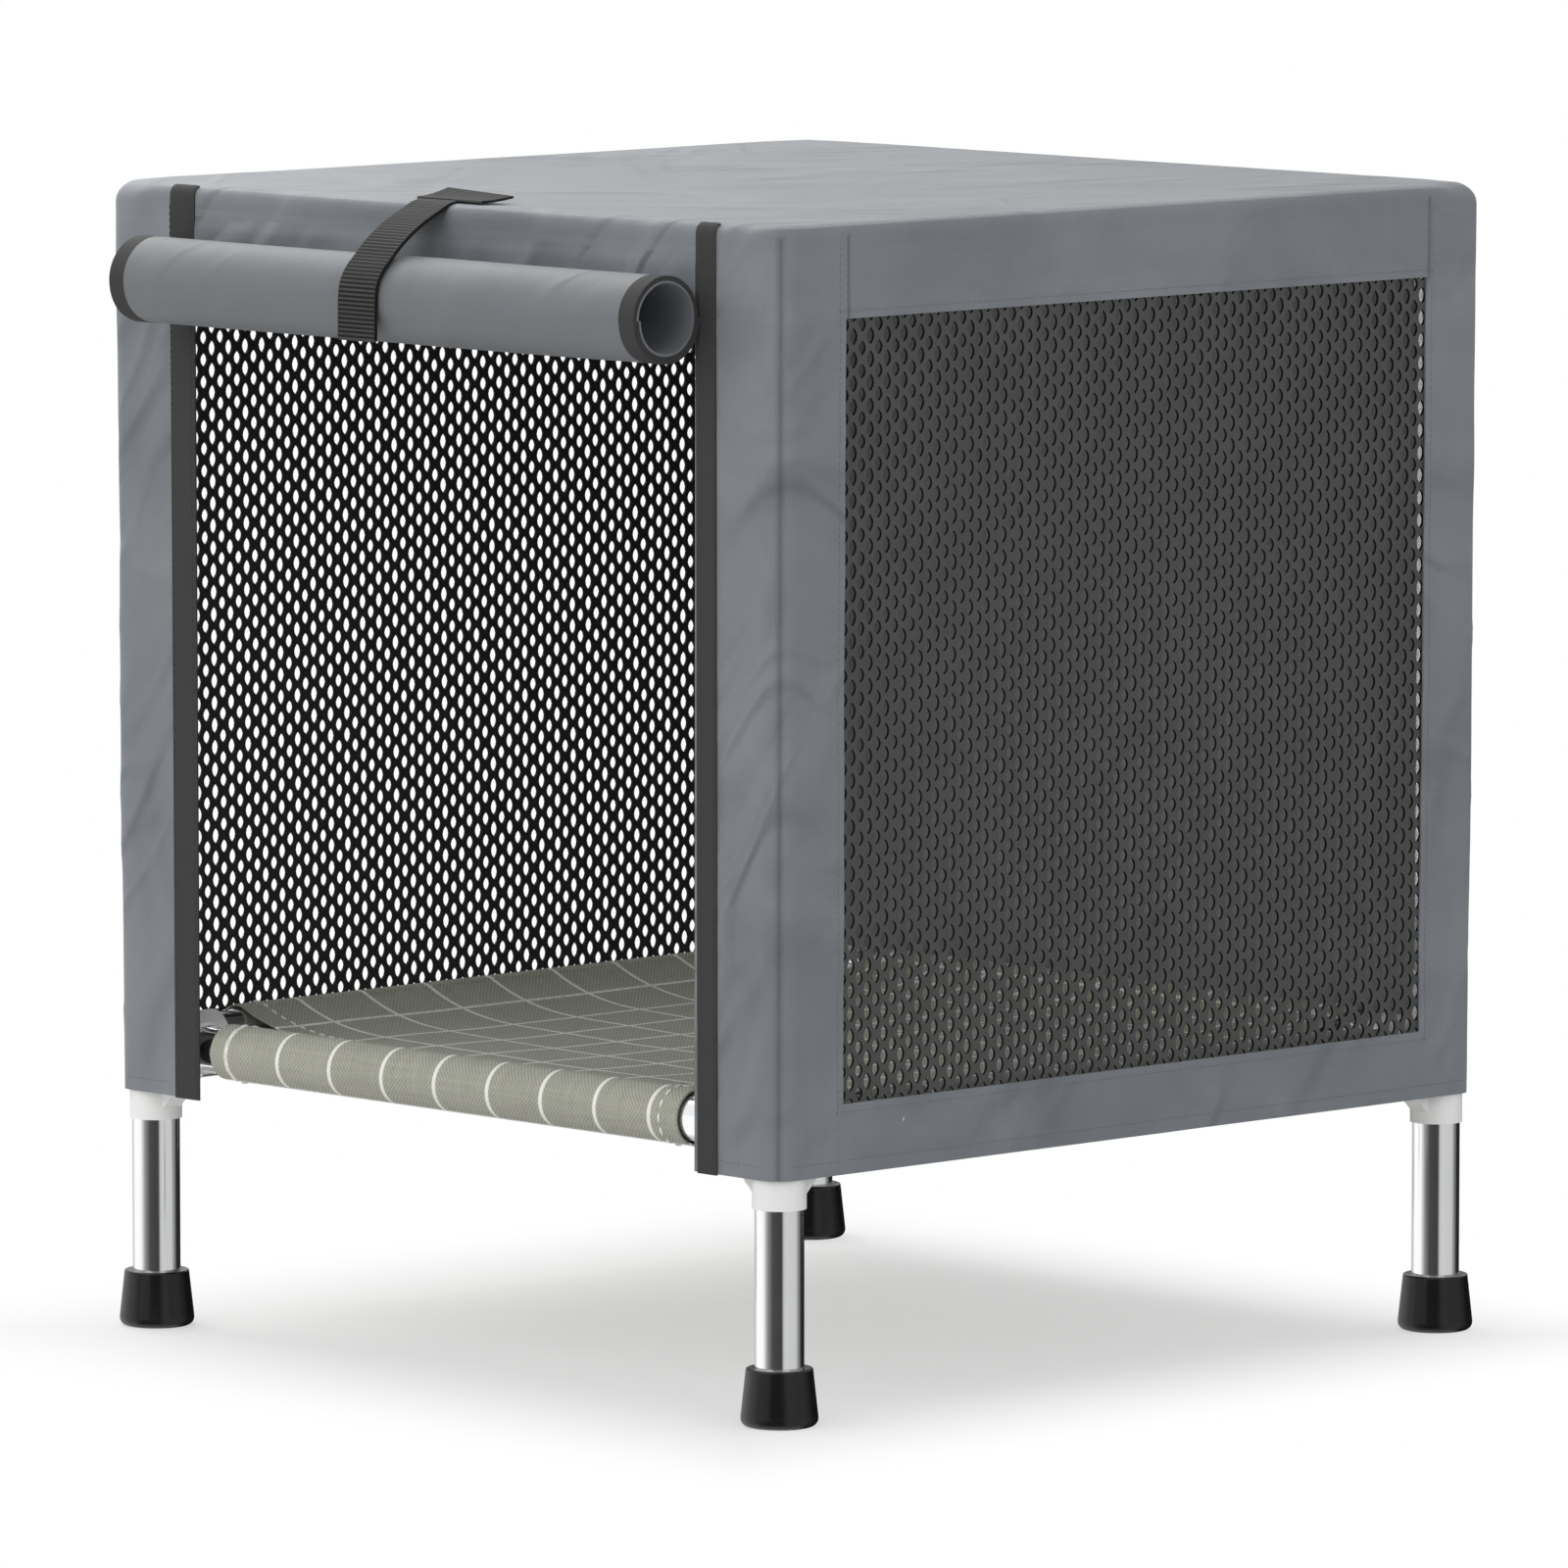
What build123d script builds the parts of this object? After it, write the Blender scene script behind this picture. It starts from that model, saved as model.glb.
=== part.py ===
"""Raised pet bed with a tent cover, in millimetres.

A push-fit tube frame on four legs carries a sagging sling. A cloth cover drops over the frame:
it has a net window on each side and a front door, whose flap is rolled up under a strap.
+X is to the right seen from the door, +Y to the back and +Z up. The origin is on the floor,
under the middle of the whole part.
"""
import os
from math import atan, cos, radians, sin

from build123d import *

# Tube frame
tube_d = 25.0
tube_wall = 1.0
bed_width = 475.0          # between leg axes, left to right
bed_depth = 475.0          # between leg axes, front to back
deck_height = 150.0        # axis of the deck rails above the floor
roof_height = 588.7        # axis of the top rails above the floor

# Rubber feet
foot_height = 29.5
foot_wall = 4.4            # rubber round the tube at the foot's rim
foot_flare = 2.7           # growth in radius from the rim down to the base
foot_floor = 5.0           # rubber under the tube
foot_base_round = 4.0
foot_band = 1.0            # upright stretch between the rounding and the taper
foot_rim_round = 1.0
push_fit = 0.05            # radial clearance of a tube in its foot and of a spigot in its tube

# Corner connectors
arm_wall = 1.2             # how far an arm stands out from its tube
hub_ease = 0.3             # how far the round hub stands out from its arms
gusset_leg = 19.0
gusset_thickness = 12.0
gusset_root = 2.0          # how deep a gusset is sunk into the arms it joins
arm_lip = 7.3              # arm beyond its gusset, up to the shoulder that the tube meets
spigot_length = 28.0

# Sling
sling_cloth = 1.2          # doubled cloth of a sleeve
deck_cloth = 0.8           # single cloth of the deck
sleeve_gap = 0.3           # between sleeve and rail
sleeve_setback = 15.0      # bare rail between a connector and its sleeve
deck_sag = 20.0
corner_cut = 20.0          # how far a corner cut starts inside the sleeve's end

# Cover
cloth = 1.0
cover_gap = 0.6            # between the cover's walls and the widest of the frame
roof_gap = 0.3             # between the roof and the top connectors
skirt_drop = 24.4          # cover below the axis of the deck rails
pillar_width = 45.0        # cloth beside a window or a door tape, measured from the outer face
band_height = 48.5         # cloth above a window, measured from the top
hem_height = 35.6          # cloth below a side window

# Net windows
net_pitch_across = 33.6
net_pitch_up = 31.8
net_hole_d = 19.0
net_margin = 4.0           # least web between a hole and the window's edge

# Door
tape_width = 16.0
tape_thickness = 1.0
tape_wrap = 75.0           # degrees of the roof's rounded edge that a door tape covers
seam_height = 8.7
flap_lap = 8.0             # how far the flap reaches over each door tape
flap_cloth = 0.8
flap_gap = 0.3             # between the flap and a door tape
flap_stretch = 24.0        # flat flap between its seam and the middle of the roll
flap_edging = 12.4
roll_radius = 23.35
turn_gap = 0.5             # air between the turns of the roll
half_turns = 7

# Strap
strap_width = 26.0
strap_thickness = 1.5
strap_middle = -5.5        # across the bed
strap_gap = 0.3            # between the strap and what it passes over
strap_slope = 22.0         # degrees that the strap falls from the roof's edge to the roll
strap_tail = 20.0          # strap below the middle of the roll
anchor_length = 38.0       # sewn end on the roof

# Sizes that follow
tube_r = tube_d / 2
arm_r = tube_r + arm_wall
hub_r = arm_r + hub_ease
arm_length = arm_r + gusset_leg + arm_lip
spigot_r = tube_r - tube_wall - push_fit
foot_rim_r = tube_r + foot_wall
foot_base_r = foot_rim_r + foot_flare
sleeve_bore = tube_r + sleeve_gap
sleeve_r = sleeve_bore + sling_cloth
half_width = bed_width / 2
half_depth = bed_depth / 2

corner_r = max(hub_r, sleeve_r) + cover_gap + cloth
edge_r = hub_r + roof_gap + cloth
cover_x = half_width + corner_r
cover_y = half_depth + corner_r
cover_top = roof_height + edge_r
cover_bottom = deck_height - skirt_drop
window_bottom = cover_bottom + hem_height
window_top = cover_top - band_height
window_half = cover_y - pillar_width
door_half = cover_x - pillar_width - tape_width

flap_half = door_half + flap_lap
flap_y = -cover_y - tape_thickness - flap_gap
seam_bottom = roof_height - seam_height
roll_y = flap_y - roll_radius
roll_z = seam_bottom - flap_stretch
turn_pitch = flap_cloth + turn_gap
strap_y = roll_y - roll_radius - strap_gap
hinge_y = -half_depth - (corner_r - edge_r)

front_reach = -strap_y + strap_thickness
back_reach = max(cover_y, half_depth + foot_base_r)
to_origin = Pos(0, (front_reach - back_reach) / 2, 0)

corners = {
    "front_left": (-1, -1),
    "front_right": (1, -1),
    "back_left": (-1, 1),
    "back_right": (1, 1),
}


def save(name, shape):
    """Write one piece, moved so that the origin lies under the middle of the part."""
    export_step(to_origin * shape, f"parts/{name}.step")


def rod(start, end, radius):
    """A round bar from one point to another."""
    run = Vector(end) - Vector(start)
    return Solid.make_cylinder(radius, run.length, Plane(start, z_dir=run))


def tube(start, end):
    """A length of frame tube."""
    return rod(start, end, tube_r) - rod(start, end, tube_r - tube_wall)


def box(low, high):
    """A block between two opposite corners."""
    size = Vector(high) - Vector(low)
    block = Box(size.X, size.Y, size.Z, align=(Align.MIN, Align.MIN, Align.MIN))
    return Pos(*low) * block


# Frame pieces

def foot(x, y):
    """A tapered rubber foot with a blind socket for its leg."""
    band = foot_base_round + foot_band
    outline = Polyline(
        (0, 0),
        (foot_base_r, 0),
        (foot_base_r, band),
        (foot_rim_r, foot_height),
        (0, foot_height),
        close=True,
    )
    half = make_face(outline)
    outer = half.vertices().sort_by(Axis.X)
    half = fillet(outer[-2:].sort_by(Axis.Y)[0], foot_base_round)
    rim = half.vertices().sort_by(Axis.Y)[-2:].sort_by(Axis.X)[-1]
    half = fillet(rim, foot_rim_round)
    body = revolve(Plane.XZ * half, Axis.Z)
    socket = rod((0, 0, foot_floor), (0, 0, foot_height), tube_r + push_fit)
    return Pos(x, y, 0) * (body - socket)


def gusset(across):
    """A flat web in the corner under one level arm."""
    reach = arm_r + gusset_leg + gusset_root
    inset = arm_r - gusset_root
    outline = Polyline((0, 0), (reach, 0), (reach, -inset), (inset, -reach), (0, -reach), close=True)
    web = extrude(make_face(outline), amount=gusset_thickness / 2, both=True)
    return Plane((0, 0, 0), x_dir=across, z_dir=Vector(across).cross(Vector(0, 0, 1))) * web


def connector(x, y, z, arms, webs):
    """A moulded corner: a round hub, arms that tubes butt against, and spigots inside the tubes."""
    body = Solid.make_sphere(hub_r)
    for way in arms:
        way = Vector(way)
        body += rod((0, 0, 0), way * arm_length, arm_r)
        body += rod(way * (arm_length - gusset_root), way * (arm_length + spigot_length), spigot_r)
    for way in webs:
        body += gusset(way)
    return Pos(x, y, z) * body


def build_frame():
    """Feet, legs, posts, rails and the connectors that hold them."""
    for name, (side, face) in corners.items():
        x = side * half_width
        y = face * half_depth
        inward = [(-side, 0, 0), (0, -face, 0)]
        save(f"foot_{name}", foot(x, y))
        save(f"leg_{name}", tube((x, y, foot_floor), (x, y, deck_height - arm_length)))
        save(f"post_{name}", tube((x, y, deck_height + arm_length), (x, y, roof_height - arm_length)))
        lower = connector(x, y, deck_height, inward + [(0, 0, 1), (0, 0, -1)], inward)
        upper = connector(x, y, roof_height, inward + [(0, 0, -1)], [])
        save(f"lower_connector_{name}", lower)
        save(f"top_connector_{name}", upper)
    reach_x = half_width - arm_length
    reach_y = half_depth - arm_length
    for kind, z in (("deck_rail", deck_height), ("top_rail", roof_height)):
        for name, y in (("front", -half_depth), ("back", half_depth)):
            save(f"{kind}_{name}", tube((-reach_x, y, z), (reach_x, y, z)))
        for name, x in (("left", -half_width), ("right", half_width)):
            save(f"{kind}_{name}", tube((x, -reach_y, z), (x, reach_y, z)))


# Sling

def sling():
    """Sagging deck with a sleeve for each deck rail, open at the corners."""
    wall_r = (sleeve_bore + sleeve_r) / 2
    lean_x = atan(2 * deck_sag / half_width)
    lean_y = atan(2 * deck_sag / half_depth)
    edge_x = half_width - wall_r * sin(lean_x)
    edge_y = half_depth - wall_r * sin(lean_y)
    edge_z = deck_height + wall_r * cos(max(lean_x, lean_y)) - deck_cloth / 2
    points = [[(i * edge_x, j * edge_y, edge_z) for j in (-1, 0, 1)] for i in (-1, 0, 1)]
    middle_share = 0.25        # pull of the middle control point at the middle of the patch
    points[1][1] = (0, 0, edge_z - deck_sag / middle_share)
    deck = extrude(Face.make_bezier_surface(points), amount=deck_cloth, dir=(0, 0, 1))

    setback = arm_length + sleeve_setback
    leg = setback + corner_cut
    for side, face in corners.values():
        triangle = Polyline((0, 0), (-side * leg, 0), (0, -face * leg), close=True)
        notch = extrude(make_face(triangle), amount=cover_top, dir=(0, 0, 1))
        deck -= Pos(side * half_width, face * half_depth, 0) * notch

    reach_x = half_width - setback
    reach_y = half_depth - setback
    body = deck
    for y in (-half_depth, half_depth):
        body += rod((-reach_x, y, deck_height), (reach_x, y, deck_height), sleeve_r)
    for x in (-half_width, half_width):
        body += rod((x, -reach_y, deck_height), (x, reach_y, deck_height), sleeve_r)
    for y in (-half_depth, half_depth):
        body -= rod((-half_width, y, deck_height), (half_width, y, deck_height), sleeve_bore)
    for x in (-half_width, half_width):
        body -= rod((x, -half_depth, deck_height), (x, half_depth, deck_height), sleeve_bore)
    return body


# Cover

def rounded_block(inset, top, bottom):
    """The cover's outside, or its inside when inset by the cloth, between two heights."""
    plan = RectangleRounded(2 * (cover_x - inset), 2 * (cover_y - inset), corner_r - inset)
    return Pos(0, 0, bottom) * extrude(plan, amount=top - bottom)


def roof_panel():
    """Flat roof that rolls over the top rails and stops at their axis."""
    outside = rounded_block(0, cover_top, deck_height)
    outside = fillet(outside.faces().sort_by(Axis.Z)[-1].edges(), edge_r)
    inside = rounded_block(cloth, cover_top - cloth, deck_height)
    inside = fillet(inside.faces().sort_by(Axis.Z)[-1].edges(), edge_r - cloth)
    return split(outside - inside, Plane.XY.offset(roof_height), keep=Keep.TOP)


def wall(low, high, bottom, top):
    """The stretch of the cover's wall inside a rectangle of the plan."""
    shell = rounded_block(0, top, bottom) - rounded_block(cloth, top, bottom)
    return shell & box((*low, bottom), (*high, top))


def net_window():
    """Flat net, one holed face, lying in the right wall."""
    middle = (window_top + window_bottom) / 2
    height = window_top - window_bottom
    frame = Rectangle(2 * window_half, height).wire()
    room = net_hole_d / 2 + net_margin
    columns = int((window_half - room) / (net_pitch_across / 2))
    rows = int((height / 2 - room) / (net_pitch_up / 2))
    holes = []
    for column in range(-columns, columns + 1):
        for row in range(-rows, rows + 1):
            if (column + row) % 2 == 0:
                spot = Pos(column * net_pitch_across / 2, row * net_pitch_up / 2)
                holes.append((spot * Circle(net_hole_d / 2)).wire())
    print("net gaps:", len(holes))
    sheet = extrude(Face(frame, holes), amount=cloth)
    return Plane((cover_x - cloth, 0, middle), x_dir=(0, 1, 0), z_dir=(1, 0, 0)) * sheet


def door_tape(low_x):
    """Tape up one edge of the doorway and over the roof's rounded edge."""
    low = (low_x, -cover_y - tape_thickness, cover_bottom)
    strip = box(low, (low_x + tape_width, -cover_y, roof_height))
    centre = (edge_r - cover_y, roof_height)
    inner = CenterArc(centre, edge_r, 180, -tape_wrap)
    outer = CenterArc(centre, edge_r + tape_thickness, 180, -tape_wrap)
    ends = [Line(inner @ 0, outer @ 0), Line(inner @ 1, outer @ 1)]
    curl = extrude(make_face([inner, outer] + ends), amount=tape_width)
    return strip + Plane.YZ.offset(low_x) * curl


def build_cover():
    """Roof, corner panels, bands, back, windows and door tapes, sewn edge to edge."""
    save("roof_panel", roof_panel())
    for name, (side, face) in corners.items():
        inner_x = door_half if face < 0 else cover_x - pillar_width
        xs = sorted((side * inner_x, side * cover_x))
        ys = sorted((face * window_half, face * cover_y))
        save(f"corner_panel_{name}", wall((xs[0], ys[0]), (xs[1], ys[1]), cover_bottom, roof_height))
    back_half = cover_x - pillar_width
    save("back_panel", wall((-back_half, 0), (back_half, cover_y), cover_bottom, roof_height))
    save("front_header", wall((-door_half, -cover_y), (door_half, 0), window_top, roof_height))
    window = net_window()
    for name, side in (("left", -1), ("right", 1)):
        xs = sorted((0, side * cover_x))
        low = (xs[0], -window_half)
        high = (xs[1], window_half)
        save(f"top_band_{name}", wall(low, high, window_top, roof_height))
        save(f"bottom_band_{name}", wall(low, high, cover_bottom, window_bottom))
        save(f"mesh_window_{name}", window if side > 0 else Rot(0, 0, 180) * window)
    save("door_tape_left", door_tape(-door_half - tape_width))
    save("door_tape_right", door_tape(door_half))


# Door flap and strap

def roll_section():
    """Cut through the rolled flap: half circles about two centres, each turn inside the last."""
    outer = []
    inner = []
    for turn in range(half_turns):
        centre = (roll_y - (turn % 2) * turn_pitch / 2, roll_z)
        radius = roll_radius - turn * turn_pitch / 2
        start = 180 * (turn % 2)
        outer.append(CenterArc(centre, radius, start, -180))
        inner.append(CenterArc(centre, radius - flap_cloth, start, -180))
    print("least gap between turns of the flap:", round(turn_pitch - flap_cloth, 3))
    ends = [Line(outer[0] @ 0, inner[0] @ 0), Line(outer[-1] @ 1, inner[-1] @ 1)]
    return make_face(outer + inner + ends)


def build_flap():
    """The sewn seam, the flat stretch below it, and the roll with its edging."""
    seam_x = door_half - flap_gap
    front = flap_y - flap_cloth
    save("flap_seam", box((-seam_x, front, seam_bottom), (seam_x, -cover_y, roof_height)))
    save("flap_sheet", box((-flap_half, front, roll_z + flap_gap), (flap_half, flap_y, seam_bottom)))
    section = roll_section()
    plain_half = flap_half - flap_edging
    for name, low, length in (
        ("flap_roll", -plain_half, 2 * plain_half),
        ("flap_edging_left", -flap_half, flap_edging),
        ("flap_edging_right", plain_half, flap_edging),
    ):
        save(name, Plane.YZ.offset(low) * extrude(section, amount=length))


def strap_side(depth):
    """One face of the hanging strap, as its distance outside the strap's inner face."""
    slope = radians(strap_slope)
    edge = Vector(hinge_y, roof_height)
    edge_radius = edge_r + strap_gap
    normal = Vector(-sin(slope), cos(slope))
    reach = normal.dot(edge) + edge_radius + strap_y * sin(slope) - roll_z * cos(slope)
    bend = reach / (1 - sin(slope))
    over_edge = CenterArc(edge, edge_radius + depth, 90, strap_slope)
    over_roll = CenterArc((strap_y + bend, roll_z), bend + depth, 90 + strap_slope, 90 - strap_slope)
    fall = Line(over_edge @ 1, over_roll @ 0)
    tail = Line(over_roll @ 1, (strap_y - depth, roll_z - strap_tail))
    return [over_edge, fall, over_roll, tail]


def build_strap():
    """The end sewn to the roof, and the strap that hangs from it round the roll."""
    low_x = strap_middle - strap_width / 2
    low = (low_x, hinge_y + strap_gap, cover_top)
    high = (low_x + strap_width, hinge_y + anchor_length, cover_top + strap_thickness)
    save("strap_anchor", box(low, high))
    inner = strap_side(0)
    outer = strap_side(strap_thickness)
    ends = [Line(inner[0] @ 0, outer[0] @ 0), Line(inner[-1] @ 1, outer[-1] @ 1)]
    section = make_face(inner + outer + ends)
    save("tie_strap", Plane.YZ.offset(low_x) * extrude(section, amount=strap_width))


os.makedirs("parts", exist_ok=True)
build_frame()
save("sling", sling())
build_cover()
build_flap()
build_strap()
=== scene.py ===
"""Raised pet bed with a tent cover: cloth, net, webbing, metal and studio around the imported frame."""
from math import atan2, cos, pi, radians, sin

import bmesh
import bpy
import numpy as np
from mathutils import Euler, Matrix, Vector, noise


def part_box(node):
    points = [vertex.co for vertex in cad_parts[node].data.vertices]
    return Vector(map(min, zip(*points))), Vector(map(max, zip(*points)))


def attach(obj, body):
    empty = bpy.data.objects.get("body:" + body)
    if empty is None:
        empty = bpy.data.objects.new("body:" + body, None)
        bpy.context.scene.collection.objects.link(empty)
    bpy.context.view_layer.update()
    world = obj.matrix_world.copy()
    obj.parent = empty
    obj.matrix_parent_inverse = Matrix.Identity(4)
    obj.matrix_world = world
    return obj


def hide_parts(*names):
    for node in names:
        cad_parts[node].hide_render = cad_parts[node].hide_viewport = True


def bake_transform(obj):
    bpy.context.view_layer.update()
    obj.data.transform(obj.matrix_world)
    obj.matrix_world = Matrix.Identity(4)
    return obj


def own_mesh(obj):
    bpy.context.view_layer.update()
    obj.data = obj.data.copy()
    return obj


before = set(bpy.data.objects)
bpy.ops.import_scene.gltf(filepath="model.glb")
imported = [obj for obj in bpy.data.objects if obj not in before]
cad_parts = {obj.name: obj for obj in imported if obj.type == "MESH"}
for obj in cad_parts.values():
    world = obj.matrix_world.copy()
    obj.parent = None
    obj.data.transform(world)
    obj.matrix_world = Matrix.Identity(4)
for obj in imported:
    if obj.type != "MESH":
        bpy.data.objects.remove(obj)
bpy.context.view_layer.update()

mm = 0.001
scene = bpy.context.scene

# Places taken from the frame

roof_low, roof_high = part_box("roof_panel")
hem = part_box("corner_panel_front_right")[0].z
cover_low = Vector((roof_low.x, roof_low.y, hem))
cover_high = roof_high.copy()
cover_middle = (cover_low + cover_high) / 2
cover_half = cover_high - cover_middle
net_low, net_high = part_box("mesh_window_right")
tape_low, tape_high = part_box("door_tape_right")
door_half = tape_low.x
leg_low, leg_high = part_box("leg_front_left")
back_leg_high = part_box("leg_back_right")[1]
tube_r = (leg_high.x - leg_low.x) / 2
rail_half = back_leg_high.x - tube_r
rail_front = leg_low.y + tube_r
rail_back = back_leg_high.y - tube_r
rail_middle = (rail_front + rail_back) / 2
rail_depth_half = (rail_back - rail_front) / 2
rail_z = sum(corner.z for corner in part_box("deck_rail_front")) / 2
edging_low, edging_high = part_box("flap_edging_right")
flap_half = edging_high.x
edging_width = edging_high.x - edging_low.x
roll_r = (edging_high.z - edging_low.z) / 2
roll_y, roll_z = ((edging_low + edging_high) / 2).yz
stretch_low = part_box("flap_sheet")[0]
seam_low, seam_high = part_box("flap_seam")
strap_low, strap_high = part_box("tie_strap")
both_ways = (-1, 1)


# Mesh helpers

def add_object(name, data):
    """Put a mesh, curve, lamp or camera into the scene at the origin."""
    obj = bpy.data.objects.new(name, data)
    scene.collection.objects.link(obj)
    return obj


def mesh_from(name, points, faces):
    """A mesh from points and faces."""
    mesh = bpy.data.meshes.new(name)
    mesh.from_pydata([tuple(p) for p in points], [], faces)
    mesh.update()
    return mesh


def bake(obj):
    """Turn what the modifiers make into a plain mesh object of the same name."""
    graph = bpy.context.evaluated_depsgraph_get()
    mesh = bpy.data.meshes.new_from_object(obj.evaluated_get(graph), depsgraph=graph)
    name = obj.name
    if obj.type == "MESH":
        obj.modifiers.clear()
        obj.data = mesh
    else:
        bpy.data.objects.remove(obj)
        obj = add_object(name, mesh)
    mesh.name = name
    return obj


def smooth(obj, angle=50):
    """Shade smoothly, with sharp edges past an angle in degrees."""
    obj.data.shade_smooth()
    obj.data.set_sharp_from_angle(angle=radians(angle))
    return obj


def thicken(obj, thickness, offset=0, inner_slot=0, rim_slot=0):
    """Give a sheet its thickness and bake it."""
    wall = obj.modifiers.new("thickness", "SOLIDIFY")
    wall.thickness = thickness
    wall.offset = offset
    wall.use_even_offset = True
    wall.use_quality_normals = True
    wall.material_offset = inner_slot
    wall.material_offset_rim = rim_slot
    return bake(obj)


def set_uv(mesh, values):
    """Store a UV pair for each vertex."""
    layer = mesh.uv_layers.new(name="cloth")
    for loop in mesh.loops:
        layer.data[loop.index].uv = values[loop.vertex_index]


def grid_mesh(name, rows, columns, at, *finishes):
    """A mesh over a grid, where at gives the point and the UV pair for a row and a column."""
    places = [at(row, column) for row in rows for column in columns]
    count = len(columns)
    corners = [i * count + j for i in range(len(rows) - 1) for j in range(count - 1)]
    faces = [(k, k + 1, k + count + 1, k + count) for k in corners]
    mesh = mesh_from(name, [point for point, uv in places], faces)
    set_uv(mesh, [uv for point, uv in places])
    for finish in finishes:
        mesh.materials.append(finish)
    return mesh


def grid_sheet(name, *grid):
    """A mesh over a grid, as an object."""
    return add_object(name, grid_mesh(name, *grid))


def belongs(piece, body, slot, *nodes):
    """Attach a piece to the body that carries it, and hide the solids it stands for. The slot is not used."""
    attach(piece, body)
    if nodes:
        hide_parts(*nodes)


def slice_at(work, axis, level, way=1, clear=False):
    """Split a mesh where an axis reaches a level, and clear what lies past it."""
    place = Vector()
    place[axis] = level
    out = Vector()
    out[axis] = way
    everything = work.verts[:] + work.edges[:] + work.faces[:]
    bmesh.ops.bisect_plane(work, geom=everything, dist=1e-6, plane_co=place, plane_no=out, clear_outer=clear)


def even_lines(marks, step):
    """Grid lines through the marks, evenly spaced by about one step between them."""
    out = [marks[0]]
    for a, b in zip(marks, marks[1:]):
        count = max(1, round((b - a) / step))
        out += [a + (b - a) * i / count for i in range(1, count + 1)]
    return out


def lengths_along(points):
    """Length of a line up to each of its points."""
    steps = np.linalg.norm(np.diff(np.array(points), axis=0), axis=1)
    return np.concatenate([[0], np.cumsum(steps)])


def smooth_path(points, step, spots=24):
    """Evenly spaced points on a curve through the given points, from many spots between each two."""
    p = np.array(points, float)
    p = np.vstack([2 * p[0] - p[1], p, 2 * p[-1] - p[-2]])
    dense = []
    for i in range(1, len(p) - 2):
        a, b, c, d = p[i - 1:i + 3]
        for t in np.linspace(0, 1, spots, endpoint=False):
            dense.append(0.5 * (2 * b + (c - a) * t + (2 * a - 5 * b + 4 * c - d) * t ** 2
                                + (3 * b - a - 3 * c + d) * t ** 3))
    dense.append(p[-2])
    run = lengths_along(dense)
    along = np.linspace(0, run[-1], max(2, round(run[-1] / step)) + 1)
    return np.stack([np.interp(along, run, values) for values in np.array(dense).T], axis=1)


def ramp(x, low, high):
    """Smooth rise from 0 to 1 between two values."""
    t = min(1, max(0, (x - low) / (high - low)))
    return t * t * (3 - 2 * t)


# Node helpers

def feed(node, inputs):
    """Set or link a node's inputs."""
    for name, value in inputs.items():
        if isinstance(value, bpy.types.NodeSocket):
            node.id_data.links.new(value, node.inputs[name])
        else:
            node.inputs[name].default_value = value


def add(tree, kind, inputs=None, **settings):
    """Add a node, set its properties, and set or link its inputs."""
    made = tree.nodes.new(kind)
    for name, value in settings.items():
        setattr(made, name, value)
    feed(made, inputs or {})
    return made


socket_kinds = {"Vector": "Vector", "Geometry": "Geometry", "Material": "Material", "Columns": "Int",
                "Rows": "Int", "Tile": "Object", "Staggered Tile": "Object"}


def new_group(kind, name, inputs, outputs):
    """An empty node group with named sockets: its tree, what it is given, and its output node."""
    tree = bpy.data.node_groups.new(name, kind)
    for way, labels in (("INPUT", inputs), ("OUTPUT", outputs)):
        for label in labels:
            socket = "NodeSocket" + socket_kinds.get(label, "Float")
            tree.interface.new_socket(name=label, in_out=way, socket_type=socket)
    return tree, tree.nodes.new("NodeGroupInput").outputs, tree.nodes.new("NodeGroupOutput")


def maths(tree, operation, *values, clamp=False):
    """One sum, whose values are numbers or sockets."""
    inputs = dict(enumerate(values))
    return add(tree, "ShaderNodeMath", inputs, operation=operation, use_clamp=clamp).outputs[0]


def rise(tree, value, span=(0.0, 1.0), to=(0.0, 1.0), soft=False):
    """A value that goes from one limit to another while an input crosses a span."""
    limits = {"From Min": span[0], "From Max": span[1], "To Min": to[0], "To Max": to[1]}
    kind = "SMOOTHSTEP" if soft else "LINEAR"
    return add(tree, "ShaderNodeMapRange", {"Value": value, **limits}, interpolation_type=kind).outputs[0]


def clouds(tree, vector, scale, **settings):
    """Smooth noise, from about 0 to 1."""
    return add(tree, "ShaderNodeTexNoise", {"Vector": vector, "Scale": scale, **settings}).outputs[0]


def use_group(tree, group, **inputs):
    """What a shared group gives for its inputs."""
    return add(tree, "ShaderNodeGroup", inputs, node_tree=group).outputs


def use_tree(obj, tree, values):
    """Run a geometry tree on an object with the named values, and bake the result."""
    modifier = obj.modifiers.new(tree.name, "NODES")
    modifier.node_group = tree
    for item in tree.interface.items_tree:
        if item.in_out == "INPUT" and item.name in values:
            modifier[item.identifier] = values[item.name]
    return bake(obj)


def make_real(tree, given, result, copies, weld=0.0):
    """End a geometry tree: copies made real, welded where they meet, and given their material."""
    real = add(tree, "GeometryNodeRealizeInstances", {"Geometry": copies.outputs[0]})
    if weld:
        real = add(tree, "GeometryNodeMergeByDistance", {"Geometry": real.outputs[0], "Distance": weld})
    shown = {"Geometry": real.outputs[0], "Material": given["Material"]}
    feed(result, {0: add(tree, "GeometryNodeSetMaterial", shown).outputs[0]})


# Shared shader groups

slub_size = 0.55  # thick spots of a thread, against its width
slub_length = 18  # how long they are drawn
thread_height = 0.35  # threads that cross, against the slubs: in height
thread_shade = 0.5  # and in tone
speck_fineness = 40.0  # specks, against the slow tone
crease_turns = ((0.62, 0.5, 0.75), (-0.7, 0.6, -0.45))  # slant of the two sets of creases, in radians
crease_stretch = (0.3, 1.1, 1.1)
crease_spread = 0.17  # how wide a crease fades out
crease_height = 0.085  # against the soft hollows
crease_where = (0.45, 0.68)  # noise levels between which a patch gets its creases
crease_patches = 4.0  # patches with creases, to a metre


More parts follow.
